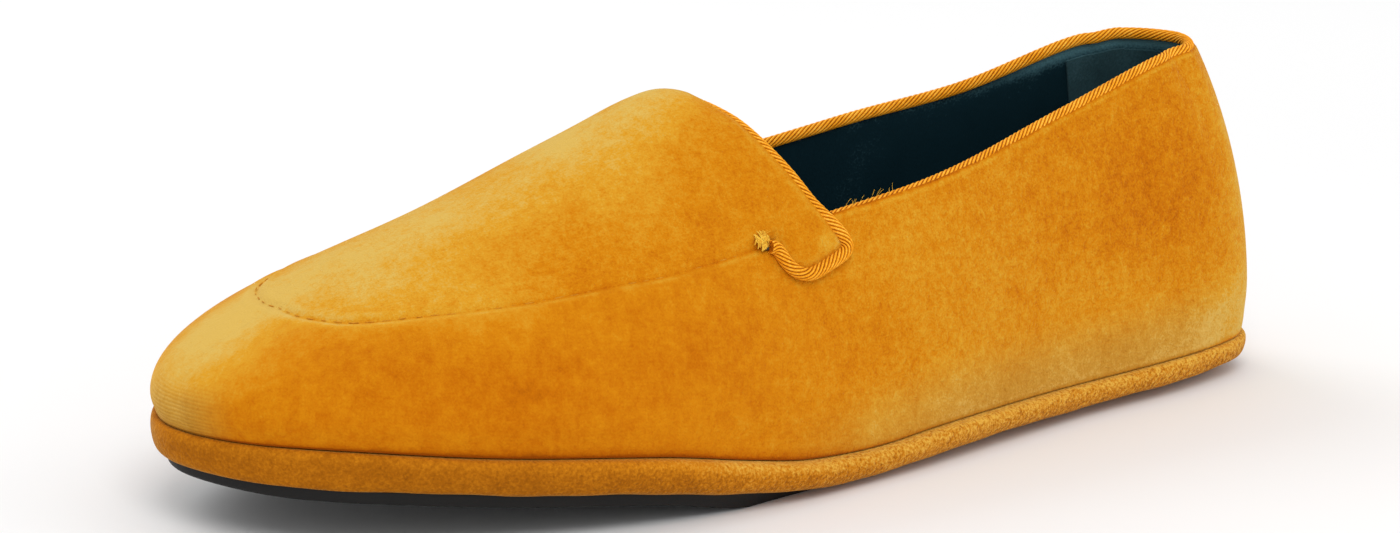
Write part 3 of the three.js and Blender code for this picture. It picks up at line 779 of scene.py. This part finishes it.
def rubber_finish():
    f = Finish("black_rubber", roughness=0.6, specular_ior_level=0.25)
    clouds, fine = f.noise(20, detail=3), f.noise(0.5, detail=2)
    f.paint(f.total((clouds, 0.8), (fine, 0.5)), RUBBER_STOPS)
    f.rough(f.total((clouds, 0.4), (fine, 0.3)), 0.62)
    f.bump(f.total((fine, 1.0)), 0.12, 0.5)
    return f.material


def thread_finish(name, stops):
    f = Finish(name, roughness=0.8, specular_ior_level=0.12)
    f.paint(f.noise(0.8, detail=2), stops)
    f.bump(f.noise(0.25, detail=1), 0.1, 0.5)
    return f.material


VELVET = velvet_finish("mustard_velvet", VELVET_STOPS)
RAND_VELVET = velvet_finish("rand_velvet", RAND_STOPS, weave=0, mottle=0.6, patch=0.2, fuzz=0.9, tuft=0.85)
CORD = cord_finish()
LEATHER = leather_finish()
SUEDE = suede_finish()
RUBBER = rubber_finish()
SEAM_THREAD = thread_finish("seam_thread", SEAM_THREAD_STOPS)
PALE_THREAD = thread_finish("pale_thread", PALE_THREAD_STOPS)
HOLE_SHADE = thread_finish("hole_shade", HOLE_SHADE_STOPS)


# The upper's velvet: vamp and quarters, up to the collar and the plug's seam

RIM_STANDS, RIM_STANDS_ROWS, RIM_STEP = 1.2, (1.6, 4.4), 0.02
VELVET_WALL, BACK_FOLLOWS = 0.9, 0.5

# Bands of form beside the cloth's edges: strength, width and how far away, in millimetres.
# Along the hem the widths are shares of the section.
SEAM_TUCK = (-0.5, 1.1)
VAMP_SWELL = (0.18, 1.4, 2.4)
RIM_ROLL = (-0.5, 0.7)
HEM_WIDTH, HEM_HOLD, HEM_HOLD_PROUD = 0.02, 0.35, 0.22
HEM_HOLLOW, HEM_HOLLOW_FROM = (-0.6, 0.07), 0.03

# Bands of painted light in the same way, with the rows over which some of them come or go. The glows and the
# seam's ridge are painted highlights, and the hem's glow turns to painted shade towards the toe; the collar's
# shade, the line under the cord, the seam's line and the hem's crease line are painted shade.
TAB_GLOW, TAB_GLOW_ABOVE = (0.22, 1.0, 1.5), 0.38
COLLAR_SHADE, COLLAR_SHADE_ROWS = (-0.06, 3.2, 2.5), (2.6, 4.2)
COLLAR_SHADOW_LINE, COLLAR_GLOW = (-0.8, 0.45), (0.3, 0.5, 1.2)
SEAM_GLOW, SEAM_GLOW_ROWS = (0.3, 1.1, 1.6), (7.0, 8.6)
RIDGE_ON_VAMP, RIDGE_ON_PLUG, RIDGE_WIDTH, RIDGE_AWAY = 0.34, 0.1, 0.55, 0.9
SEAM_SHADE, SEAM_SHADE_FADES, SEAM_SHADE_ROWS, SEAM_SHADE_WIDTH = 0.24, 0.14, (6.4, 7.6), 0.5
HEM_GLOW, HEM_GLOW_FADES, HEM_GLOW_ROWS = 0.36, 0.66, (3.4, 5.2)
HEM_CREASE_SHADE = (-1.1, 0.0045)
# The toe's weave and dull colour, partly worn pile and partly painted shade, and a dull band of painted shade
# low along the hem at the rear
TOE_WEAR_AND_SHADE, TOE_WEAR_AND_SHADE_ROWS, TOE_WEAR_AND_SHADE_RISES = 0.9, (9.2, 9.8), (0.16, 0.42)
HEM_SHADE, HEM_SHADE_BEGINS, HEM_SHADE_ENDS, HEM_SHADE_RISES = 0.8, (1.2, 2.2), (3.6, 5.4), (0.02, 0.15)
GRAIN_HEEL, GRAIN_FADES, GRAIN_ROWS, GRAIN_PLUG = 1.7, 0.9, (3.4, 6.5), 1.25


def seam_path(side, count=260):
    rows = np.linspace(ROW_BAR, ROW_TIP, count)
    return last_point(side, rows, seam_rise(rows))


def velvet_rim(side, row):
    """Where the velvet ends along the collar: round the heel it stands up beside the cord."""
    rise = collar_rise(side, row)
    reach = np.linalg.norm(last_point(side, row, rise) - last_point(side, row, rise - RIM_STEP), axis=-1)
    return rise + RIM_STEP * RIM_STANDS / reach * (1 - smooth(*RIM_STANDS_ROWS, row))


def collar_path(side, count=300):
    rows = np.linspace(0, ROW_CORNER, count)
    return last_point(side, rows, velvet_rim(side, rows))


def edge_path(side, tab, count=60):
    """Points along one of the plug's free edges."""
    rows = np.linspace(tab["row"][0], tab["row"][-1], count)
    return last_point(side, rows, curve(tab, "row", "rise", rows))


SEAM_PATH = np.concatenate([seam_path(OUTER), seam_path(INNER)])
COLLAR_PATH = np.concatenate([collar_path(OUTER), collar_path(INNER)])
PLUG_EDGE = np.concatenate([edge_path(side, tab) for side in (OUTER, INNER)
                            for tab in (THROAT, TAB_LOW, TAB_BACK)])


def section_foot(side, row):
    """Where a wall that reaches down to the sole begins."""
    return 0 * row


def vamp_top(side, row):
    rim = velvet_rim(side, np.minimum(row, ROW_CORNER))
    under_tab = np.where(row < ROW_CORNER, rim, THROAT["rise"][0])
    return np.where(row < ROW_BAR, under_tab, np.where(row < ROW_TIP, seam_rise(row), 1))


def vamp_outside(side, row, rise, points):
    seam, rim = nearest(points, SEAM_PATH), nearest(points, COLLAR_PATH)
    hold = HEM_HOLD + HEM_HOLD_PROUD * sole_at("proud", MIDDLE - points[..., 0])
    hem = band(rise, -hold, HEM_WIDTH) + band(rise, *HEM_HOLLOW) * (1 - band(rise, 1, HEM_HOLLOW_FROM))
    return band(seam, *SEAM_TUCK) + band(seam, *VAMP_SWELL) + band(rim, *RIM_ROLL) + hem + troughs(points)


def vamp_inside(side, row, rise, points):
    return vamp_outside(side, row, rise, points) * BACK_FOLLOWS - VELVET_WALL


def ridge_wave(row):
    """How the painted highlight on the ridge beside the seam comes and goes along it."""
    return 0.75 + 0.55 * np.sin(7.1 * row) * np.sin(17.3 * row + 1)


def cloth_marks(side, row, rise, points):
    """How the nap lies, with painted highlights and painted shade beside seams, edges and the crease, where
    the cloth shows its weave, and a dull colour that is worn pile and painted shade at the toe and painted
    shade low on the hem at the rear.
    """
    rim, seam, edge = (nearest(points, path) for path in (COLLAR_PATH, SEAM_PATH, PLUG_EDGE))
    toe = smooth(*TOE_WEAR_AND_SHADE_ROWS, row) * (1 - smooth(*TOE_WEAR_AND_SHADE_RISES, rise))
    # Painted shade along the low hem at the rear
    hem_shade_rows = smooth(*HEM_SHADE_BEGINS, row) * (1 - smooth(*HEM_SHADE_ENDS, row))
    hem = HEM_SHADE * hem_shade_rows * (1 - smooth(*HEM_SHADE_RISES, rise))
    ridge = np.where(rise < seam_rise(row), RIDGE_ON_VAMP, RIDGE_ON_PLUG) * ridge_wave(row)
    line = SEAM_SHADE - SEAM_SHADE_FADES * smooth(*SEAM_SHADE_ROWS, row)
    glow = HEM_GLOW - HEM_GLOW_FADES * smooth(*HEM_GLOW_ROWS, row)
    # The nap's tone plus bands of painted highlight and painted shade beside the tab, the collar, the seam
    # and the crease above the rand
    tone = sum([
        nap_and_light_tone(points),
        band(edge, *TAB_GLOW) * (row < ROW_BAR) * (rise > TAB_GLOW_ABOVE),
        band(rim, *COLLAR_SHADE) * smooth(*COLLAR_SHADE_ROWS, row),
        band(rim, *COLLAR_SHADOW_LINE),
        band(rim, *COLLAR_GLOW),
        band(seam, *SEAM_GLOW) * smooth(*SEAM_GLOW_ROWS, row),
        band(seam, ridge, RIDGE_WIDTH, RIDGE_AWAY),
        band(seam, -line, SEAM_SHADE_WIDTH),
        band(rise, glow, HEM_WIDTH),
        band(rise, *HEM_CREASE_SHADE),
    ])
    on_vamp = GRAIN_HEEL - GRAIN_FADES * smooth(*GRAIN_ROWS, row)
    grain = np.where(rise < vamp_top(side, row), on_vamp, GRAIN_PLUG)
    return {"nap": tone, "weave": TOE_WEAR_AND_SHADE * toe, "worn": np.maximum(TOE_WEAR_AND_SHADE * toe, hem), "grain": grain}


# Rows lie closer round the heel and the toe, and points closer to the seam and the hem
ROWS = stretches([0, 1.5, ROW_BAR, ROW_TIP, LAST_ROW], [56, 110, 126, 16])
SHARES = 1 - (1 - np.linspace(0, 1, 58)) ** 1.35
SHARES = np.concatenate([[0, 0.004, 0.009], SHARES[1:]])
upper = wall_piece("upper_velvet", VELVET, ROWS, SHARES, section_foot, vamp_top, vamp_outside, vamp_inside,
                   cloth_marks)


# The lining and the suede grip inside the heel

LINING_GAP, LINING_HEM, LINING_ROLL = 0.25, 0.1, (0.5, 0.012)
WORN_EDGE, WORN_EDGE_FADES, WORN_EDGE_ROWS = 0.02, 0.75, (1.6, 3)
GRIP_ROW, GRIP_FOOT, GRIP_BELOW_RIM = 1.92, 0.05, 0.022
GRIP_SUNK, GRIP_STANDS = 0.05, 0.5


def lining_outside(side, row, rise, points):
    return -VELVET_WALL - LINING_GAP - band(rise, LINING_HEM, HEM_WIDTH)


def lining_inside(side, row, rise, points):
    return band(lining_top(side, row) - rise, *LINING_ROLL) - WALL


def lining_marks(side, row, rise, points):
    """The lining's paler edge, which fades from the heel forwards."""
    edge = band(lining_top(side, row) - rise, 1, WORN_EDGE)
    return {"edge": edge * (1 - WORN_EDGE_FADES * smooth(*WORN_EDGE_ROWS, row)) * (row < ROW_CORNER)}


LINING_ROWS = stretches([0, 1.5, ROW_CORNER, ROW_THROAT, LAST_ROW], [28, 54, 22, 70])
LINING_SHARES = 1 - (1 - np.linspace(0, 1, 30)) ** 1.4
lining = wall_piece("lining", LEATHER, LINING_ROWS, LINING_SHARES, section_foot, lining_top, lining_outside,
                    lining_inside, lining_marks)
grip = wall_piece(
    "heel_grip", SUEDE, np.linspace(0, GRIP_ROW, 56), np.linspace(0, 1, 30),
    lambda side, row: GRIP_FOOT + 0 * row, lambda side, row: collar_rise(side, row) - GRIP_BELOW_RIM,
    lambda side, row, rise, points: GRIP_SUNK - WALL + 0 * rise,
    lambda side, row, rise, points: -WALL - GRIP_STANDS + 0 * rise, ends=(False, True))


# The plug, whose edge rolls down into the seam

CROWN_REACH = 26
TAB_LIFT, TAB_REACH, TAB_ROWS = 1.4, 6, (ROW_BAR - 0.02, ROW_THROAT + 0.35)
PLUG_SWELL = (0.2, 1.4, 2.4)
LIP_TIGHT, LIP_WIDE, LIP_ON_TAB = (-0.75, 1.0), (-0.35, 4.5), 0.55
PLUG_THIN, PLUG_THICKENS, PLUG_WALL_FROM_SEAM, PLUG_WALL_FROM_EDGE = 0.4, 0.5, (0, 5), (-2, 6)


def plug_outside(side, row, rise, points):
    seam, edge = nearest(points, SEAM_PATH), nearest(points, PLUG_EDGE)
    crown = PLUG_RISE * smooth(0, CROWN_REACH, seam)
    tab = TAB_LIFT * smooth(0, TAB_REACH, seam) * (1 - smooth(*TAB_ROWS, row))
    lip = band(edge, *LIP_TIGHT) + band(edge, *LIP_WIDE)
    lip = lip * (LIP_ON_TAB + (1 - LIP_ON_TAB) * smooth(ROW_CORNER, ROW_THROAT, row))
    return np.maximum(crown, tab) + band(seam, *SEAM_TUCK) + band(seam, *PLUG_SWELL) + lip


def plug_inside(side, row, rise, points):
    seam, edge = nearest(points, SEAM_PATH), nearest(points, PLUG_EDGE)
    thicker = PLUG_THICKENS * smooth(*PLUG_WALL_FROM_SEAM, seam) * smooth(*PLUG_WALL_FROM_EDGE, edge)
    return plug_outside(side, row, rise, points) - PLUG_THIN - thicker


PLUG_ROWS = stretches([ROW_TAB, ROW_CORNER, ROW_BAR, ROW_THROAT, 8, ROW_TIP], [18, 30, 16, 76, 54])
PLUG_SHARES = np.linspace(0, 1, 44) ** 1.25
plug = wall_piece("plug_velvet", VELVET, PLUG_ROWS, PLUG_SHARES, lambda side, row: plug_low(row),
                  lambda side, row: plug_top(row), plug_outside, plug_inside, cloth_marks, ends=(True, False))


# The sole: velvet rand, rubber and the sock inside

def rand_wave(along):
    """How the cloth drawn round the rand swells and sinks along it."""
    return 0.12 * np.sin(along / 6.3) + 0.07 * np.sin(along / 2.6 + 1)


def rand_rings(count=28):
    """The rand's edge with its corners rounded off."""
    edge = {"at": np.arange(len(RAND_EDGE["out"]), dtype=float), **RAND_EDGE}
    rings = []
    for at in np.linspace(0, len(RAND_EDGE["out"]) - 1, count):
        out, share = float(curve(edge, "at", "out", at)), float(curve(edge, "at", "share", at))
        rings.append((
            lambda along, out=out: RAND_IN + out * (sole_at("proud", along) - RAND_IN + rand_wave(along)),
            lambda along, up=share: (sole_at("base", along) + up * (sole_at("rand", along) - FIT_GAP)
                                     + (1 - up) * rand_wave(along + 31))))
    return rings


SOLE_ROWS = stretches([0, 1, 9, LAST_ROW], [26, 150, 30])
RAND_HEEL = (-110, 50)


def rand_marks(points):
    """The rand's tone, painted with its light and shade: painted shade at the toe and the middle, where it
    faces down, pale at the heel, paler towards its top at the heel, and a painted highlight along its top
    edge on the way.
    """
    heel = smooth(*RAND_HEEL, points[:, 0])
    back = smooth(0.5, 0.9, heel)
    along = MIDDLE - points[:, 0]
    share = np.clip((points[:, 2] - sole_at("base", along)) / sole_at("rand", along), 0, 1)
    # Painted shade towards the toe, painted light towards the heel and its top, and a painted highlight along
    # the top edge
    tone = 0.56 * heel - 0.3 + 0.02 * back + 0.6 * (share - 0.5) * (1.6 * heel - 0.4)
    top = 0.26 + 0.24 * smooth(0.1, 0.5, heel) - 0.4 * back
    tone = tone + top * smooth(0.5, 0.9, share)
    return {"nap": tone, "weave": 0 * heel, "worn": 0.05 * heel, "grain": 0.8 + 1.9 * heel, "flow": points}


rand = plate_piece("rand", RAND_VELVET, SOLE_ROWS, rand_rings(), across=6, extra=rand_marks)

BEVEL_IN, BEVEL_UP = 0.25, 0.2
TREAD_INTO_GAP = 0.25


def tread_height(along):
    return np.maximum(0, sole_at("base", along) - sole_at("tread", along))


def tread_ring(inset, height):
    return lambda along: sole_at("edge", along) - inset, lambda along: tread_height(along) + height


outsole = plate_piece("rubber_sole", RUBBER, SOLE_ROWS, [
    tread_ring(OUTSOLE_BEVEL, 0), tread_ring(BEVEL_IN, BEVEL_UP), tread_ring(0, OUTSOLE_BEVEL),
    (lambda along: sole_at("edge", along), lambda along: sole_at("base", along) - FIT_GAP + TREAD_INTO_GAP),
], across=10, sharp=50)

# The sock's edge is rounded by rings, each so far in and so far below its top
SOCK_EDGE = -WALL - INSOLE_GAP
SOCK_RINGS = [(0, INSOLE_THICK), (0, 0.8), (0.25, 0.3), (0.9, 0)]
SOCK_DIP, SOCK_DIP_SHAPE = 0.9, 0.7


def sock_ring(inset, below):
    return lambda along: SOCK_EDGE - inset, lambda along: seam_height(along) + INSOLE_THICK - below


sock = plate_piece("sock", LEATHER, SOLE_ROWS, [sock_ring(*ring) for ring in SOCK_RINGS], across=20,
                   top=lambda share: -SOCK_DIP * np.sin(np.pi * share) ** SOCK_DIP_SHAPE)


# The cords

SINK_ROWS = (1.6, 4.5)
COLLAR_CORD_IN, COLLAR_CORD_IN_SUNK = WALL / 2 + 0.55, 0.2
COLLAR_CORD_UP, COLLAR_CORD_SINKS = 1.45, 2.1
CORD_TIP = {"row": 5.145, "rise": 0.467}
LIFT_ENDS_EARLY = 0.11
PLUG_CORD_AWAY, PLUG_CORD_AWAY_LIFTED = 0.78, 0.42
PLUG_CORD_SUNK, PLUG_CORD_LIFT, PLUG_CORD_DIP = 0.5, 1.65, 1.4
RIDGE_CORD_AWAY, RIDGE_STEP = 0.95, 0.05


def collar_seat(side, rows):
    """Where the collar's cord lies: on the rim at the heel, and sunk inside it towards the tabs."""
    rise = collar_rise(side, rows)
    sunk = smooth(*SINK_ROWS, rows)[:, None]
    rim, below = (off_last(side, rows, at, -COLLAR_CORD_IN - COLLAR_CORD_IN_SUNK * sunk)
                  for at in (rise, rise - RIM_STEP))
    return rim + unit(rim - below) * (COLLAR_CORD_UP - COLLAR_CORD_SINKS * sunk)


collar_rows = stretches([ROW_CORNER - COLLAR_CORD_END, 2, 0], [60, 60])
collar_line = np.concatenate([collar_seat(OUTER, collar_rows), collar_seat(INNER, collar_rows)[-2::-1]])


def plug_seat(side):
    """Where the plug's cord lies: round the tab from its thread bar, and up the throat's edge."""
    row, rise = (np.concatenate([[CORD_TIP[n]], TAB_LOW[n][::-1], TAB_BACK[n][1:], THROAT[n][1:-1]])
                 for n in ("row", "rise"))
    place = np.arange(len(row))
    on_tab = place <= len(TAB_LOW["row"])
    base = last_point(side, row, rise)
    normal = last_normal(side, row, rise)
    ahead = base[np.minimum(place + 1, len(row) - 1)] - base[np.maximum(place - 1, 0)]
    away = -side * unit(np.cross(ahead, normal))
    past = np.where(on_tab, 0, row - ROW_CORNER)
    dip = CORD_DIPS * np.maximum(past, 0) / (ROW_THROAT - ROW_CORNER)
    fall = (past + LIFT_ENDS_EARLY) / (CORD_STAYS_UP + CORD_COMES_DOWN)
    lift = np.where(on_tab, 1, np.clip(1 - fall, 0, 1))[:, None]
    up = PLUG_CORD_LIFT * lift - PLUG_CORD_SUNK - PLUG_CORD_DIP * dip[:, None]
    return base + away * (PLUG_CORD_AWAY + PLUG_CORD_AWAY_LIFTED * lift) + normal * up


def smooth_path(points, steps=8):
    """More points on a smooth curve through the given ones."""
    padded = np.concatenate([[2 * points[0] - points[1]], points, [2 * points[-1] - points[-2]]])
    result = []
    for i in range(1, len(padded) - 2):
        a, b, c, d = padded[i - 1:i + 3]
        for u in np.linspace(0, 1, steps, endpoint=False):
            result.append(b + 0.5 * u * (c - a + u * (2 * a - 5 * b + 4 * c - d + u * (3 * (b - c) + d - a))))
    return np.array(result + [points[-1]])


def soften(points, step=0.3, width=1.3):
    """The same path evenly spaced, with its tight corners eased."""
    gone = np.concatenate([[0], np.linalg.norm(np.diff(points, axis=0), axis=1).cumsum()])
    even = np.arange(0, gone[-1], step)
    path = np.stack([np.interp(even, gone, points[:, k]) for k in range(3)], -1)
    reach = int(3 * width / step)
    share = np.exp(-0.5 * (np.arange(-reach, reach + 1) * step / width) ** 2)
    padded = np.concatenate([2 * path[0] - path[reach:0:-1], path, 2 * path[-1] - path[-2:-reach - 2:-1]])
    return np.stack([np.convolve(padded[:, k], share / share.sum(), "valid") for k in range(3)], -1)


ridge = last_point(OUTER, ROW_THROAT, 1.0)
ridge_seat = ridge + unit(ridge - last_point(OUTER, ROW_THROAT + RIDGE_STEP, 1.0)) * RIDGE_CORD_AWAY
ridge_seat -= last_normal(OUTER, ROW_THROAT, 1.0) * (PLUG_CORD_SUNK + PLUG_CORD_DIP * CORD_DIPS)
plug_line = soften(smooth_path(np.concatenate([plug_seat(OUTER), [ridge_seat], plug_seat(INNER)[::-1]])))

ROPE = rope_tree()
ROPE_LOOK = {"Radius": 1.4 * MM, "Strands": 9, "Pitch": -14.4 * MM, "Groove": 0.24, "Step": 0.5 * MM,
             "Taper": 1.5 * MM, "Material": CORD}
PLUG_ROPE_LOOK = {**ROPE_LOOK, "Radius": 1.5 * MM, "Pitch": -13 * MM}
collar_rope = run_tree(path_object("collar_rope", collar_line), ROPE, ROPE_LOOK)
plug_rope = run_tree(path_object("plug_rope", plug_line), ROPE, PLUG_ROPE_LOOK)


# Stitches and threads

STITCH_START = 0.03
STITCH_SUNK, STITCH_RISES, STITCH_RISES_ROWS = 0.56, 0.32, (7.2, 8.6)
BAR_AHEAD, BAR_RISE, BAR_STEP = 0.09, 0.47, 0.05
BAR_THREADS, BAR_FRAYS = 42, 8
LOOSE_THREADS, LOOSE_ROWS, LOOSE_ROOT, LOOSE_RADIUS = 12, (4.2, 4.6), 0.6, 0.032
HOLE_AHEAD, HOLE_RISES, HOLE_OUT, HOLE_RADIUS = 0.075, (0.452, 0.464), 0.5, 0.5


def seam_stitch_line(side, count=300):
    rows = np.linspace(ROW_BAR + STITCH_START, ROW_TIP, count)
    rise = seam_rise(rows)
    sunk = STITCH_SUNK - STITCH_RISES * smooth(*STITCH_RISES_ROWS, rows)[:, None]
    return off_last(side, rows, rise, -sunk)


STITCH = stitch_tree()
seam_line = np.concatenate([seam_stitch_line(OUTER), seam_stitch_line(INNER)[-2::-1]])
seam_stitches = run_tree(path_object("seam_stitches", seam_line), STITCH, {
    "Spacing": 3.4 * MM, "Length": 2.3 * MM, "Thickness": 0.3 * MM, "Wander": 0.14 * MM, "Seed": SEED,
    "Material": SEAM_THREAD})


draw = np.random.default_rng(SEED)


def thread_bar(side):
    """The tuft of threads that ties the tab's cord into the seam."""
    row = ROW_BAR + BAR_AHEAD
    normal = last_normal(side, row, BAR_RISE)
    centre = last_point(side, row, BAR_RISE)
    up = unit(last_point(side, row, BAR_RISE + BAR_STEP) - centre)
    along = np.cross(up, normal)
    threads = []
    for _ in range(BAR_THREADS):
        place = centre + along * draw.normal(0, 1.1) + up * draw.normal(0.2, 0.5)
        length = draw.uniform(1.6, 3.6)
        lean = draw.normal(0, 0.35)
        share = np.linspace(-0.5, 0.5, 8)[:, None]
        arch = 0.55 + 0.75 * (1 - (2 * share) ** 2) * draw.uniform(0.6, 1.1)
        path = place + up * length * share + along * lean * length * share + normal * arch
        threads.append((path, draw.uniform(0.13, 0.22)))
    for _ in range(BAR_FRAYS):
        place = centre + along * draw.normal(0, 0.6) + up * draw.uniform(0.6, 1.6) + normal * 0.9
        way = up * draw.uniform(0.6, 1.6) + along * draw.normal(0, 0.9) + normal * draw.uniform(0.3, 1.0)
        share = np.linspace(0, 1, 6)[:, None]
        threads.append((place + way * share + normal * 0.4 * share ** 2, 0.07))
    return threads


bars = bundle("thread_bars", thread_bar(OUTER) + thread_bar(INNER), PALE_THREAD)


def bar_hole_shade(side):
    """A dark tube of painted shade in the small gap between the cord's end and its threads."""
    rise = np.linspace(*HOLE_RISES, 5)
    row = np.full_like(rise, ROW_BAR + HOLE_AHEAD)
    return off_last(side, row, rise, HOLE_OUT), HOLE_RADIUS


hole_shades = bundle("bar_hole_shades", [bar_hole_shade(OUTER), bar_hole_shade(INNER)], HOLE_SHADE)


def loose_threads(side):
    """Frayed ends that stand up from the collar just behind the tab."""
    threads = []
    for row in draw.uniform(*LOOSE_ROWS, LOOSE_THREADS):
        rise = collar_rise(side, np.array([row]))[0]
        start = off_last(side, row, rise, -LOOSE_ROOT)
        way = np.array([draw.normal(0.4, 0.7), draw.normal(0, 0.4), draw.uniform(1.8, 3.4)])
        share = np.linspace(0, 1, 7)[:, None]
        bend = np.array([draw.normal(0, 1.0), draw.normal(0, 0.6), -0.5])
        threads.append((start + way * share + bend * share ** 2, LOOSE_RADIUS))
    return threads


threads = bundle("loose_threads", loose_threads(OUTER) + loose_threads(INNER), PALE_THREAD)


# What each piece rides on and stands for
PIECES = [
    (upper, "velvet", ["upper"]), (plug, "velvet", ["plug"]), (rand, "rand_velvet", ["wrapped_midsole"]),
    (outsole, "sole_rubber", ["outsole"]), (sock, "lining_leather", ["insole"]),
    (collar_rope, "cord", ["collar_cord"]), (plug_rope, "cord", ["plug_cord"]),
    (lining, "lining_leather", []), (grip, "lining_leather", []), (seam_stitches, "velvet", []),
    (bars, "cord", []), (hole_shades, "cord", []), (threads, "cord", []),
]
for piece, slot, nodes in PIECES:
    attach(piece, "root")
    if nodes:
        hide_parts(*nodes)


# Floor, light and camera

FLOOR_STOPS = [(0, (0.86, 0.86, 0.86, 1)), (1, (0.9, 0.9, 0.9, 1))]
FLOOR_HALF = 6000


def floor_finish():
    f = Finish("pale_floor", roughness=0.9, specular_ior_level=0.1)
    f.paint(f.noise(400, detail=1), FLOOR_STOPS)
    return f.material


def make_floor():
    corners = FLOOR_HALF * np.array([(-1, -1, 0), (1, -1, 0), (1, 1, 0), (-1, 1, 0)])
    link("floor", smooth_mesh("floor", corners, [[0, 1, 2, 3]], floor_finish()))


def area_light(name, place, aim, size, power):
    light = bpy.data.lights.new(name, "AREA")
    light.energy, light.size = power, size
    lamp = link(name, light)
    lamp.location = place
    lamp.rotation_euler = (Vector(aim) - Vector(place)).to_track_quat("-Z", "Y").to_euler()


make_floor()
area_light("key", (-0.9, -1.5, 1.9), (0, 0, 0.03), 1.2, 22)
area_light("fill", (1.4, -1.2, 0.9), (0, 0, 0.04), 1.4, 6)
area_light("back", (-0.3, 1.6, 1.5), (0, 0, 0.05), 1.4, 12)

world = bpy.data.worlds.new("studio")
bpy.context.scene.world = world
world.use_nodes = True
background = world.node_tree.nodes["Background"].inputs
background["Color"].default_value, background["Strength"].default_value = (1, 1, 1, 1), 0.75
bpy.context.scene.view_settings.view_transform = "Standard"

# The camera stands where the photograph was taken from and turns to have the shoe in the middle
FRAME_WIDTH = 1400
FOCUS_PIXELS = 5315.0
DISTANCE = 1.1979
AIM = Vector((-0.0015, 0.0018, 0.04))
AZIMUTH, ELEVATION, ROLL = math.radians(-37.925), math.radians(14.064), math.radians(1.497)
TURN_PIXELS = (-36.0, 2.0)


def make_camera():
    sin_a, cos_a = math.sin(AZIMUTH), math.cos(AZIMUTH)
    sin_e, cos_e = math.sin(ELEVATION), math.cos(ELEVATION)
    level = Vector((cos_a, sin_a, 0))
    rise = Vector((-sin_a * sin_e, cos_a * sin_e, cos_e))
    back = Vector((sin_a * cos_e, -cos_a * cos_e, sin_e))
    right = math.cos(ROLL) * level + math.sin(ROLL) * rise
    up = math.cos(ROLL) * rise - math.sin(ROLL) * level
    place = AIM + DISTANCE * back
    facing = (back - right * TURN_PIXELS[0] / FOCUS_PIXELS - up * TURN_PIXELS[1] / FOCUS_PIXELS).normalized()
    side = up.cross(facing).normalized()
    data = bpy.data.cameras.new("camera")
    data.sensor_fit, data.sensor_width = "HORIZONTAL", 36
    data.lens = FOCUS_PIXELS * data.sensor_width / FRAME_WIDTH
    data.clip_start = 0.05
    camera = link("camera", data)
    turned = Matrix((side, facing.cross(side), facing)).transposed().to_4x4()
    camera.matrix_world = Matrix.Translation(place) @ turned
    bpy.context.scene.camera = camera


make_camera()
